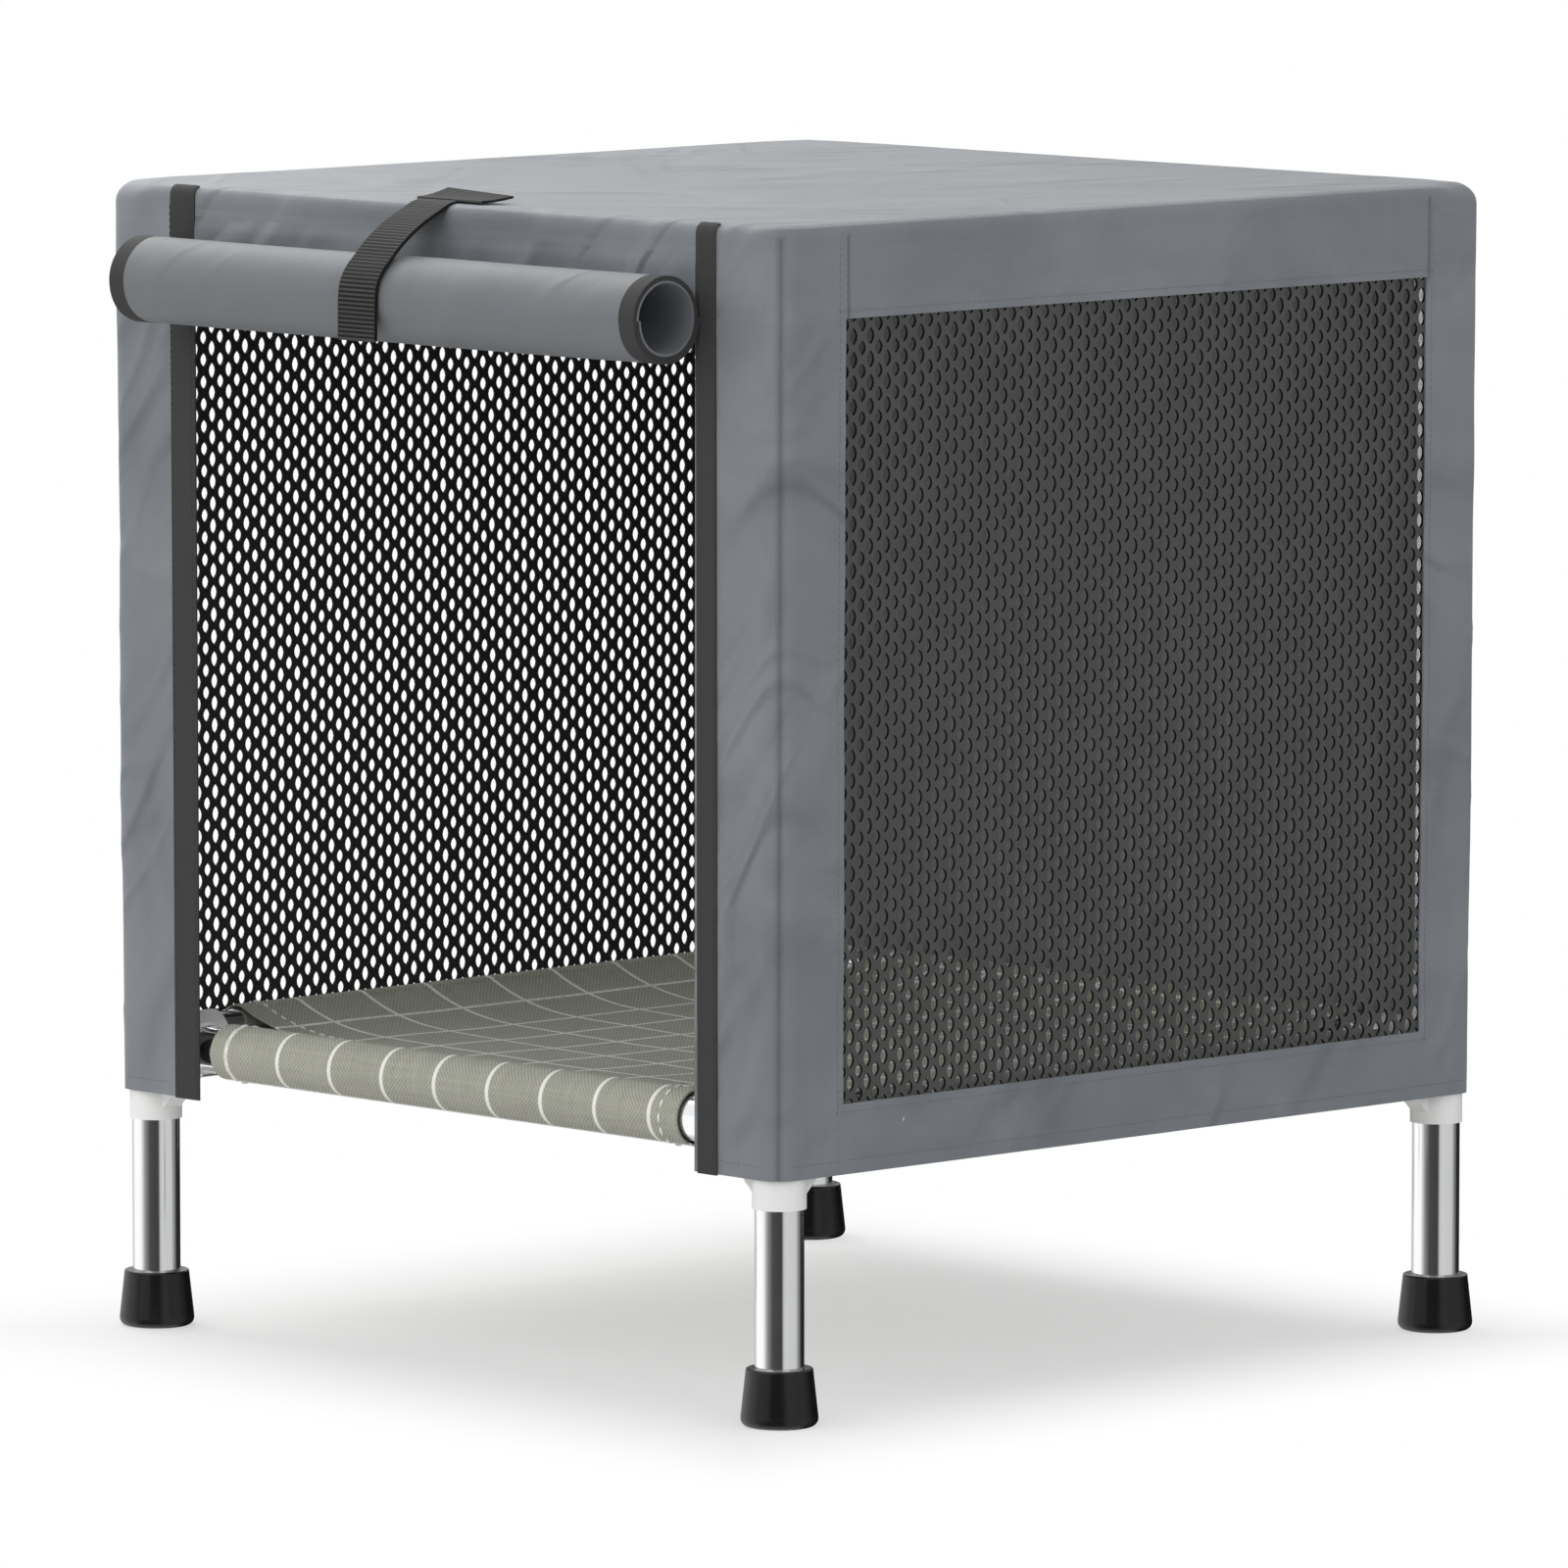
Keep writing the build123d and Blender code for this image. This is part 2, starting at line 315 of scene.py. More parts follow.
def build_weave():
    """Plain weave: threads that pass over and under each other along a UV pair."""
    tree, given, result = new_group(
        "ShaderNodeTree", "plain_weave", ["Vector", "Thread"], ["Height", "Shade"])
    split = add(tree, "ShaderNodeSeparateXYZ", {0: given["Vector"]})
    waves = []
    for axis in (0, 1):
        turn = maths(tree, "DIVIDE", maths(tree, "MULTIPLY", split.outputs[axis], pi), given["Thread"])
        waves.append(maths(tree, "SINE", turn))
    crossing = maths(tree, "MULTIPLY", *waves)
    slub_scale = maths(tree, "DIVIDE", slub_size, given["Thread"])
    slubs = []
    for stretch in ((1 / slub_length, 1, 1), (1, 1 / slub_length, 1)):
        long = add(tree, "ShaderNodeVectorMath", {0: given["Vector"], 1: stretch}, operation="MULTIPLY")
        slubs.append(clouds(tree, long.outputs[0], slub_scale, Detail=2.0))
    mixed = maths(tree, "MULTIPLY", maths(tree, "ADD", *slubs), 0.5)
    feed(result, {"Height": maths(tree, "MULTIPLY_ADD", crossing, thread_height, mixed),
                  "Shade": maths(tree, "MULTIPLY_ADD", crossing, thread_shade, mixed)})
    return tree


def build_tone():
    """Slow uneven tone and fine specks over a surface, from about 0 to 1."""
    tree, given, result = new_group(
        "ShaderNodeTree", "uneven_tone", ["Vector", "Scale"], ["Tone", "Speck"])
    place = given["Vector"]
    fine = maths(tree, "MULTIPLY", given["Scale"], speck_fineness)
    feed(result, {"Tone": clouds(tree, place, given["Scale"], Detail=4.0, Roughness=0.55, Distortion=0.6),
                  "Speck": clouds(tree, place, fine, Detail=2.0)})
    return tree


def build_folds():
    """Soft hollows and slanting creases of slack cloth, as a height from about 0 to 1."""
    tree, given, result = new_group("ShaderNodeTree", "cloth_folds", ["Vector", "Scale"], ["Height"])
    height = clouds(tree, given["Vector"], given["Scale"], Detail=1.5, Roughness=0.4, Distortion=0.7)
    for turn in crease_turns:
        place = add(tree, "ShaderNodeMapping", {"Vector": given["Vector"], "Rotation": turn,
                                                "Scale": crease_stretch}, vector_type="TEXTURE").outputs[0]
        wander = clouds(tree, place, given["Scale"], Detail=1.0, Distortion=0.4)
        off = maths(tree, "ABSOLUTE", maths(tree, "SUBTRACT", wander, 0.5))
        line = rise(tree, off, (0.0, crease_spread), (1.0, 0.0), soft=True)
        where = rise(tree, clouds(tree, place, crease_patches, Detail=0.0), crease_where, soft=True)
        height = maths(tree, "MULTIPLY_ADD", maths(tree, "MULTIPLY", line, where), crease_height, height)
    feed(result, {"Height": height})
    return tree


weave_group = build_weave()
tone_group = build_tone()
fold_group = build_folds()


# Materials

check_x = 40.3 * mm  # pitch of the check across the bed
check_y = 45.7 * mm  # pitch of the check along the bed
check_x_start = -4.2 * mm
check_y_start = -25.8 * mm
check_line = 2.5 * mm
check_blur = (-0.25 * mm, 0.1 * mm)  # where a line starts and is full, from its edge
check_worn = 0.95  # how far the lines cover the cloth's own colour
tight_folds = 0.35  # share of the folds left in tight cloth
seam_shade_share = 0.5  # how far a seam's groove takes on its painted shade
seam_shade_dark = 0.35  # the colour of that painted shade, against the cloth's darkest
weave_strength = 0.7
# height of the band at the bottom of a part that takes another colour
low_band_height = 7 * mm


def grey(level):
    """A neutral colour."""
    return (level, level, level)


def new_material(name, tone_scale):
    """A material with its tree, shader, coordinates and uneven tone."""
    made = bpy.data.materials.new(name)
    made.use_nodes = True
    tree = made.node_tree
    shader = next(n for n in tree.nodes if n.type == "BSDF_PRINCIPLED")
    place = tree.nodes.new("ShaderNodeTexCoord").outputs
    tone = use_group(tree, tone_group, Vector=place["Object"], Scale=tone_scale)
    return made, tree, shader, place, tone


def mix_colours(tree, factor, first, second):
    """Mix two colours, each a socket or three values, by a 0 to 1 factor."""
    ends = [c if isinstance(c, bpy.types.NodeSocket) else (*c, 1) for c in (first, second)]
    return add(tree, "ShaderNodeMix", {0: factor, 6: ends[0], 7: ends[1]}, data_type="RGBA").outputs[2]


def bump(shader, height, distance, strength=1.0, **under):
    """Drive a shader's normal with a height, over another bump if there is one."""
    inputs = {"Height": height, "Distance": distance, "Strength": strength, **under}
    made = add(shader.id_data, "ShaderNodeBump", inputs)
    feed(shader, {"Normal": made.outputs[0]})
    return made.outputs[0]


def attribute(tree, name):
    """A value stored on the mesh."""
    return add(tree, "ShaderNodeAttribute", attribute_name=name).outputs["Fac"]


def cloth_material(name, dark, light, thread, rough, sheen, tone_scale, weave_depth, fold_depth,
                   weave_share=0.2, gloss=0.35):
    """Coated plain-weave cloth with uneven tone, soft folds and creases."""
    made, tree, shader, place, tone = new_material(name, tone_scale)
    weave = use_group(tree, weave_group, Vector=place["UV"], Thread=thread)
    shade = maths(tree, "MULTIPLY", weave["Shade"], weave_share)
    mixed = maths(tree, "MULTIPLY_ADD", tone["Tone"], 1 - weave_share, shade, clamp=True)
    colour = mix_colours(tree, mixed, dark, light)
    feed(shader, {"Base Color": colour, "Roughness": rise(tree, tone["Tone"], to=rough),
                  "Sheen Weight": sheen, "Sheen Roughness": 0.5, "Specular IOR Level": gloss})
    folds = use_group(tree, fold_group, Vector=place["Object"], Scale=tone_scale)
    slack = rise(tree, attribute(tree, "taut"), to=(1.0, tight_folds))
    rumpled = bump(shader, maths(tree, "MULTIPLY", folds["Height"], slack), fold_depth)
    bump(shader, weave["Height"], weave_depth, weave_strength, Normal=rumpled)
    return made, tree, shader, place, colour


def cover_material(name, dark, light, fold_depth=34.0 * mm):
    """The cover's grey cloth, with painted shade in the groove of its seams."""
    made, tree, shader, place, colour = cloth_material(
        name, dark, light, thread=0.6 * mm, rough=(0.5, 0.66), sheen=0.12, tone_scale=9.0,
        weave_depth=0.07 * mm, fold_depth=fold_depth)
    # painted shade: the cloth is darkened where the seams' grooves are
    groove = maths(tree, "MULTIPLY", attribute(tree, "seam"), seam_shade_share)
    painted_groove_shade = [seam_shade_dark * c for c in dark]
    feed(shader, {"Base Color": mix_colours(tree, groove, colour, painted_groove_shade)})
    return made


def sling_material():
    """Grey-green cloth with a thin white window check along its UV pair."""
    made, tree, shader, place, colour = cloth_material(
        "sling_check", (0.225, 0.225, 0.183), (0.545, 0.545, 0.464), thread=1.25 * mm, rough=(0.72, 0.86),
        sheen=0.2, tone_scale=14.0, weave_depth=0.5 * mm, fold_depth=1.5 * mm, weave_share=0.75)
    split = add(tree, "ShaderNodeSeparateXYZ", {0: place["UV"]})
    lines = []
    for axis, (pitch, start) in enumerate(((check_x, check_x_start), (check_y, check_y_start))):
        shifted = maths(tree, "SUBTRACT", split.outputs[axis], start - pitch / 2)
        across = maths(tree, "PINGPONG", shifted, pitch / 2)
        edge = pitch / 2 - check_line / 2
        lines.append(rise(tree, across, [edge + blur for blur in check_blur]))
    worn = maths(tree, "MULTIPLY", maths(tree, "MAXIMUM", *lines), check_worn)
    feed(shader, {"Base Color": mix_colours(tree, worn, colour, (0.96, 0.95, 0.90))})
    return made


def webbing_material(name, dark, light, thread):
    """Dark woven tape or webbing."""
    return cloth_material(name, dark, light, thread, rough=(0.66, 0.82), sheen=0.02, tone_scale=30.0,
                          weave_depth=0.12 * mm, fold_depth=0.5 * mm, gloss=0.2)[0]


def plain_material(name, dark, light, tone_scale, rough, rough_by="Tone", grain=0.0, grain_strength=0.0,
                   gloss=0.5, metal=0.0, low_colour=None):
    """Metal, plastic, rubber, net or thread: a little uneven, with a faint grain and, if given, another
    colour close to the floor.
    """
    made, tree, shader, place, tone = new_material(name, tone_scale)
    colour = mix_colours(tree, tone["Tone"], dark, light)
    # a lighter colour mixed in unevenly over the lowest few millimetres
    if low_colour:
        height = add(tree, "ShaderNodeSeparateXYZ", {0: place["Object"]}).outputs[2]
        low = rise(tree, height, (0.0, low_band_height), (1.0, 0.0))
        colour = mix_colours(tree, maths(tree, "MULTIPLY", low, tone["Tone"]), colour, low_colour)
    feed(shader, {"Base Color": colour, "Roughness": rise(tree, tone[rough_by], to=rough),
                  "Specular IOR Level": gloss, "Metallic": metal})
    if grain:
        bump(shader, tone["Speck"], grain, grain_strength)
    return made


cover_outside = cover_material("cover_grey", (0.114, 0.129, 0.146), (0.285, 0.305, 0.330))
# the cloth's inner face, made lighter than its outside as painted light against the shade inside the cover
cover_inside = cover_material("cover_inside", (0.240, 0.242, 0.244), (0.306, 0.308, 0.310))
# partly the cloth's duller inner face and partly painted shade: darkened so the roll's lit top stays as dark
# as the walls
flap_inside = cover_material("flap_inside", (0.140, 0.152, 0.165), (0.182, 0.194, 0.208), 5.0 * mm)
sling_check = sling_material()
coated_net = dict(tone_scale=25.0, rough=(0.48, 0.7), rough_by="Speck", grain=0.15 * mm, grain_strength=0.4)
net_black = plain_material("net_black", grey(0.058), grey(0.086), gloss=0.3, **coated_net)
# painted shade: the net's inner face is darker than its outer face, as the inside of the cover is in shade
net_inside = plain_material("net_inside", grey(0.018), grey(0.029), gloss=0.3, **coated_net)
# painted shade: the walls of the holes are near black, where they stand in shade
net_edge = plain_material("net_edge", grey(0.005), grey(0.009), gloss=0.08, **coated_net)
tape_dark = webbing_material("tape_dark", (0.039, 0.039, 0.040), (0.055, 0.055, 0.056), 0.9 * mm)
strap_dark = webbing_material("webbing_dark", grey(0.047), grey(0.074), 1.1 * mm)
# the band under the ribs: partly the webbing's own black and partly painted shade in the gaps between the
# ribs and on its side edges
strap_band_black_and_shade = webbing_material("webbing_black", grey(0.006), grey(0.012), 1.1 * mm)
chrome_tube = plain_material("chrome_tube", (0.80, 0.81, 0.82), (0.88, 0.88, 0.89), tone_scale=22.0,
                             rough=(0.10, 0.17), grain=0.02 * mm, grain_strength=0.2, metal=1.0)
connector_white = plain_material("connector_white", grey(0.91), (0.95, 0.95, 0.94), tone_scale=30.0,
                                 rough=(0.32, 0.46), grain=0.05 * mm, grain_strength=0.25)
foot_black = plain_material("foot_black", grey(0.006), grey(0.010), tone_scale=45.0, rough=(0.16, 0.24),
                            grain=0.08 * mm, grain_strength=0.3, gloss=0.32, low_colour=(0.030, 0.029, 0.028))
sewing_thread = dict(tone_scale=120.0, rough=(0.6, 0.8), rough_by="Speck")
thread_white = plain_material("thread_white", (0.86, 0.85, 0.81), (0.97, 0.96, 0.92), **sewing_thread)
thread_grey = plain_material("thread_grey", (0.14, 0.15, 0.16), (0.22, 0.23, 0.245), **sewing_thread)
thread_dark = plain_material("thread_dark", (0.035, 0.035, 0.036), grey(0.07), **sewing_thread)


# Frame pieces keep their shape and get their finish

frame_finishes = {
    chrome_tube: ("leg_", "post_", "deck_rail_", "top_rail_"),
    connector_white: ("lower_connector_", "top_connector_"),
    foot_black: ("foot_",)}
for name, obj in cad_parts.items():
    for finish, starts in frame_finishes.items():
        if name.startswith(starts):
            obj.data.materials.clear()
            obj.data.materials.append(finish)


# Cover

cloth = 1.0 * mm
edge_r = 13.0 * mm  # rounding of the cover's upright corners and top edges
edge_crisp = 2.4  # how much tighter than round the roof's edges fold; three of its corners stay round
edge_steps = 5  # rows of cloth round such an edge
cover_step = 5.5 * mm
hem_ease = -0.2 * mm  # how far the cover stands off its packed size at the hem
top_ease = 2.5 * mm  # and at the top, where the walls lean out
front_ease = 0.3  # share of the walls' lean at the front and back
roof_dip = 4.0 * mm
roof_ease = 0.9 * mm  # how far the roof lies below its packed height
seam_half = 1.8 * mm
seam_depth = 0.45 * mm
seam_shift = 1.8 * mm  # window seams behind the windows' own edges
roof_calm = 0.75  # share of the folds that tight cloth loses
band_tight = 0.95  # how tight the top of the walls is drawn, against the roof
tape_flat = (14 * mm, 34 * mm)  # from a door tape's middle: no folds, and all of them
least_give = 0.3 * mm  # how far the cloth may sink where the frame is close behind it
more_give = 1.5 * mm  # and further where there is room
crease_sharp = 5  # how thin the creases are
crease_ways = [Euler(turn).to_matrix() for turn in crease_turns]


def flare(z):
    """How far the walls stand out at a height."""
    return hem_ease + (top_ease - hem_ease) * (z - cover_low.z) / (cover_high.z - cover_low.z)


def swell(p, per_metre, height, shift=(0, 0, 0)):
    """Soft waves of about one height, so many to a metre."""
    return height * noise.noise(p * per_metre + Vector(shift))


def ridge(p, across, along):
    """Thin creases where a noise passes through zero."""
    return max(0.0, 1 - crease_sharp * abs(noise.noise((p.x * across, p.y * along, p.z * along)))) ** 2


def rumple(p):
    """Soft folds of the cloth at a point of the cover, as a height."""
    broad = swell(p, 8.0, 0.5 * mm) + swell(p, 17.0, 0.35 * mm, (7, 0, 0))
    patch = ramp(swell(p, 7.0, 1.0, (0, 9, 3)), -0.15, 0.35)
    first, second = (way @ p for way in crease_ways)
    crease = 0.5 * mm * patch * ridge(first, 20.0, 5.0)
    counter = 0.4 * mm * (1 - patch) * ridge(second, 18.0, 6.0)
    return broad + crease - counter + swell(p, 48.0, 0.1 * mm)


def tautness(out):
    """1 on the roof and 0 on the walls, from the way out of the cloth."""
    return ramp(out.z, 0.2, 0.95)


def drawn(p, out):
    """How tight the cloth is drawn: fully on the roof, less along the top of the walls."""
    return max(tautness(out), band_tight * ramp(p.z, cover_high.z - 4 * edge_r, cover_high.z - edge_r))


def calm(p, out):
    """Share of the folds that is left: little on the tight roof, and none under the door tapes."""
    beside = abs(abs(p.x) - (tape_low.x + tape_high.x) / 2)
    front = 1 - ramp(p.y, cover_low.y + edge_r, cover_low.y + 2 * edge_r)
    return (1 - roof_calm * drawn(p, out)) * (1 - front * (1 - ramp(beside, *tape_flat)))


def give(p):
    """How far the cloth may sink towards the frame inside it."""
    near = rail_half - 3 * tube_r
    off = p - cover_middle
    if abs(off.x) > near and abs(off.y) > near and p.z > cover_high.z - 6 * tube_r:
        return least_give
    return least_give + more_give * ramp(p.z, rail_z + 1.3 * tube_r, rail_z + 3 * tube_r)


def rounded(x, y, z):
    """A point on the plain box moved onto its rounded edges, and the way out from there."""
    core = Vector((
        min(cover_high.x - edge_r, max(cover_low.x + edge_r, x)),
        min(cover_high.y - edge_r, max(cover_low.y + edge_r, y)),
        min(cover_high.z - edge_r, z)))
    off = (Vector((x, y, z)) - core) / edge_r
    level = max(1e-9, off.xy.length)
    reach_x = cover_half.x - abs(x - cover_middle.x)
    reach_y = cover_half.y - abs(y - cover_middle.y)
    crisp = ramp(max(reach_x, reach_y), edge_r, 4 * edge_r)
    if x > cover_middle.x and y < cover_middle.y:  # the front right corner isn't round
        crisp = 1.0
    power = 2 + edge_crisp * crisp
    size = (level ** power + abs(off.z) ** power) ** (1 / power)
    share = level ** (power - 2)
    out = Vector((off.x * share, off.y * share, abs(off.z) ** (power - 1)))
    return core + off * (edge_r / size), out.normalized()


def seam_share(p):
    """Upright seams, as a share of their depth: at the four corners and beside the side windows."""
    if p.z >= cover_high.z - edge_r / 2:
        return 0.0
    corner_x = abs(abs(p.x - cover_middle.x) - cover_half.x)
    corner_y = abs(abs(p.y - cover_middle.y) - cover_half.y)
    fold = edge_r * (1 - 0.5 ** 0.5)
    dent = max(0, 1 - max(abs(corner_x - fold), abs(corner_y - fold)) / seam_half)
    if corner_x < 2 * mm and p.z > net_high.z - seam_half:
        beside = min(abs(p.y - net_low.y - seam_shift), abs(p.y - net_high.y - seam_shift))
        dent = max(dent, 1 - beside / seam_half)
    return dent


def on_cover(x, y, z, lift=0.0):
    """The point of the finished cover that belongs to a point on its plain box."""
    q, out = rounded(x, y, z)
    height = max(-give(q), rumple(q) * calm(q, out)) - seam_depth * seam_share(q) - roof_ease * tautness(out)
    q += out * (height + lift)
    part_x = (q.x - cover_middle.x) / cover_half.x
    part_y = (q.y - cover_middle.y) / cover_half.y
    q.x += part_x * flare(z)
    q.y += part_y * flare(z) * front_ease
    q.z -= roof_dip * max(0, 1 - part_x ** 2) * max(0, 1 - part_y ** 2) * ramp(out.z, 0.7, 1.0)
    return q


def build_cover():
    """The whole cover as one continuous sheet with its windows and doorway left open."""
    bend = [edge_r * k / edge_steps for k in range(edge_steps)]

    def lines(low, high, marks):
        inner = even_lines([low + edge_r, *marks, high - edge_r], cover_step)
        return [low + b for b in bend] + inner + [high - b for b in reversed(bend)]

    beside = sorted(y + d for y in (net_low.y, net_high.y)
                    for d in (0, seam_shift - seam_half - 0.5 * mm, seam_shift, seam_shift + seam_half))
    xs = lines(cover_low.x, cover_high.x, [-door_half, door_half])
    ys = lines(cover_low.y, cover_high.y, beside)
    zs = even_lines([hem, net_low.z, net_high.z, cover_high.z - edge_r], cover_step)
    zs += [cover_high.z - b for b in reversed(bend)]
    points = []
    index = {}
    flat = []
    seams = []
    tight = []
    faces = []

    def vertex(place, uv):
        key = tuple(round(c / mm, 3) for c in place)
        if key not in index:
            index[key] = len(points)
            q, out = rounded(*place)
            points.append(on_cover(*place))
            flat.append(uv)
            seams.append(seam_share(q))
            tight.append(drawn(q, out))
        return index[key]

    def panel(axis, level, us, vs, opening=(0, 0, 0, 0)):
        """One side of the plain box, at a level of one axis, without its opening."""
        low_u, high_u, low_v, high_v = opening
        turned = (level > cover_middle[axis]) == (axis == 1)  # these corners run the other way round
        for u0, u1 in zip(us, us[1:]):
            for v0, v1 in zip(vs, vs[1:]):
                if low_u < (u0 + u1) / 2 < high_u and low_v < (v0 + v1) / 2 < high_v:
                    continue
                corners = [(u0, v0), (u1, v0), (u1, v1), (u0, v1)]
                face = [vertex((*c[:axis], level, *c[axis:]), c) for c in corners]
                faces.append(face[::-1] if turned else face)

    panel(2, cover_high.z, xs, ys)
    panel(1, cover_low.y, xs, zs, (-door_half, door_half, hem, net_high.z))
    panel(1, cover_high.y, xs, zs)
    for x in (cover_low.x, cover_high.x):
        panel(0, x, ys, zs, (net_low.y, net_high.y, net_low.z, net_high.z))
    mesh = mesh_from("cover_shell", points, faces)
    set_uv(mesh, flat)
    # the seams' share, which the cover's material also turns into painted shade
    mesh.attributes.new("seam", "FLOAT", "POINT").data.foreach_set("value", seams)
    mesh.attributes.new("taut", "FLOAT", "POINT").data.foreach_set("value", tight)
    mesh.materials.append(cover_outside)
    mesh.materials.append(cover_inside)
    return smooth(thicken(add_object("cover_shell", mesh), cloth, -1, inner_slot=1))


cover_shell = build_cover()
corner_names = ("front_left", "front_right", "back_left", "back_right")
belongs(cover_shell, "cover", "cover_cloth", "roof_panel", "back_panel", "front_header",
        "top_band_left", "top_band_right", "bottom_band_left", "bottom_band_right",
        *(f"corner_panel_{c}" for c in corner_names))


# Door tapes

left_tape_x = -tape_high.x + 4.8 * mm  # the cover sits a little to the right
left_tape_width = tape_high.x - tape_low.x + 3.0 * mm
right_tape_x = tape_low.x + 2.8 * mm
right_tape_width = tape_high.x - tape_low.x - 1.8 * mm
tape_thickness = 0.9 * mm
tape_gap = 0.1 * mm  # between the tape and the cloth
tape_bevel = 0.25 * mm  # how much lower its edges lie
tape_drop = 0.5 * mm  # past the hem
tape_step = 6 * mm
tape_columns = 9
tape_bend = 6  # rows of tape round the roof's edge


def build_tape(side, low_x, width):
    """A woven tape up one edge of the doorway and onto the roof's rounded edge."""
    columns = list(np.linspace(low_x, low_x + width, tape_columns))
    bend_z = cover_high.z - edge_r
    heights = even_lines([hem - tape_drop, bend_z], tape_step)
    heights += [bend_z + edge_r * k / tape_bend for k in range(1, tape_bend + 1)]
    path = [(cover_low.y, z) for z in heights]
    path.append((cover_low.y + edge_r / tape_bend, cover_high.z))

    def at(spot, x):
        y, z = spot
        bevel = tape_bevel if x in (columns[0], columns[-1]) else 0
        place = on_cover(x, y, z, tape_gap + tape_thickness - bevel)
        return (x, place.y, place.z), (x, z + y)

    tape = grid_sheet(f"doorway_tape_{side}", path, columns, at, tape_dark)
    smooth(thicken(tape, tape_thickness, -1))
    belongs(tape, "cover", "door_tape", f"door_tape_{side}")


build_tape("left", left_tape_x, left_tape_width)
build_tape("right", right_tape_x, right_tape_width)


# Net windows

net_pitch_across = 11.68 * mm
net_pitch_up = 11.72 * mm
net_hole_width = 5.15 * mm
net_hole_heights = (8.5 * mm, 7.3 * mm)  # in alternate columns
net_hole_point = 1.6  # how pointed the holes are, where 1 is round
net_hole_sides = 12
net_spare = 5  # rows and columns past the size, to be cut off
net_thickness = 1.5 * mm
net_gap = 0.25 * mm  # between a net and the cloth in front of it
net_margin = 3.8 * mm  # net that is sewn behind the cloth round a window
net_first_row = 9.3 * mm  # from a window's top edge down to a row of tall holes
net_first_column = {1: 17.65 * mm, -1: 13.7 * mm}  # from its front edge to such a column, right and left


def net_tile(name, hole_height):
    """One diamond of the net round its pointed hole, flat, at the origin."""
    tips = [Vector((net_pitch_across / 2, 0, 0)), Vector((0, net_pitch_up / 2, 0))]
    tips += [-tip for tip in tips]
    rim = []
    hole = []
    for k in range(net_hole_sides):
        side = 4 * k // net_hole_sides
        rim.append(tips[side].lerp(tips[(side + 1) % 4], 4 * k / net_hole_sides - side))
        turn = 2 * pi * k / net_hole_sides
        pointed = abs(cos(turn)) ** net_hole_point * (1 if cos(turn) > 0 else -1)
        hole.append((net_hole_width / 2 * pointed, hole_height / 2 * sin(turn), 0))
    pairs = [(k, (k + 1) % net_hole_sides) for k in range(net_hole_sides)]
    faces = [(a, b, net_hole_sides + b, net_hole_sides + a) for a, b in pairs]
    return add_object(name, mesh_from(name, rim + hole, faces))


def build_net_tree():
    """Two staggered grids of diamonds, welded into one holed sheet."""
    tree, given, result = new_group(
        "GeometryNodeTree", "net_lattice", ["Geometry", "Pitch Across", "Pitch Up", "Columns", "Rows", "Tile",
                                            "Staggered Tile", "Material"], ["Geometry"])
    join = tree.nodes.new("GeometryNodeJoinGeometry")
    for fewer, tile in ((0, "Tile"), (1, "Staggered Tile")):
        columns = maths(tree, "SUBTRACT", given["Columns"], fewer)
        rows = maths(tree, "SUBTRACT", given["Rows"], fewer)
        width = maths(tree, "MULTIPLY", maths(tree, "SUBTRACT", columns, 1), given["Pitch Across"])
        height = maths(tree, "MULTIPLY", maths(tree, "SUBTRACT", rows, 1), given["Pitch Up"])
        grid = add(tree, "GeometryNodeMeshGrid",
                   {"Size X": width, "Size Y": height, "Vertices X": columns, "Vertices Y": rows})
        shape = add(tree, "GeometryNodeObjectInfo", {"Object": given[tile]})
        layer = add(tree, "GeometryNodeInstanceOnPoints",
                    {"Points": grid.outputs["Mesh"], "Instance": shape.outputs["Geometry"]})
        feed(join, {0: layer.outputs[0]})
    make_real(tree, given, result, join, weld=0.1 * mm)
    return tree


def build_net(side_name, side, tree, tiles):
    """One net window, cut to size and set just behind the cloth of its wall."""
    name = f"window_net_{side_name}"
    width = net_high.y - net_low.y + 2 * net_margin
    height = net_high.z - net_low.z + 2 * net_margin
    columns = int(width / net_pitch_across) + net_spare
    rows = int(height / net_pitch_up) + net_spare
    sheet = use_tree(add_object(name, bpy.data.meshes.new(name)), tree, {
        "Pitch Across": net_pitch_across, "Pitch Up": net_pitch_up, "Columns": columns, "Rows": rows,
        "Tile": tiles[0], "Staggered Tile": tiles[1], "Material": net_black})
    first_y = net_first_column[side] + net_margin - width / 2
    first_z = height / 2 - net_margin - net_first_row
    shift_y = (first_y + (columns - 1) / 2 * net_pitch_across) % net_pitch_across
    shift_z = (first_z + (rows - 1) / 2 * net_pitch_up) % net_pitch_up
    sheet.data.transform(Matrix.Translation((shift_y, shift_z, 0)))
    work = bmesh.new()
    work.from_mesh(sheet.data)
    for axis, size in enumerate((width, height)):
        for way in both_ways:
            slice_at(work, axis, way * size / 2, way, clear=True)
    work.to_mesh(sheet.data)
    work.free()
    middle = (net_low + net_high) / 2
    for v in sheet.data.vertices:
        y, z = v.co.x + middle.y, v.co.y + middle.z
        v.co = (side * (cover_high.x - cloth - net_gap + flare(z)), y, z)
    if side < 0:
        sheet.data.flip_normals()
    # painted shade on the rims of the holes
    sheet.data.materials.append(net_edge)
    # painted shade on the net's inner face
    sheet.data.materials.append(net_inside)
    thicken(sheet, net_thickness, -1, inner_slot=2, rim_slot=1)
    belongs(sheet, "cover", "window_net", f"mesh_window_{side_name}")


net_tree = build_net_tree()
net_tiles = [net_tile(f"net_tile_{k}", h) for k, h in enumerate(net_hole_heights)]
build_net("right", 1, net_tree, net_tiles)
build_net("left", -1, net_tree, net_tiles)
for tile in net_tiles:
    bpy.data.objects.remove(tile)


# Sling

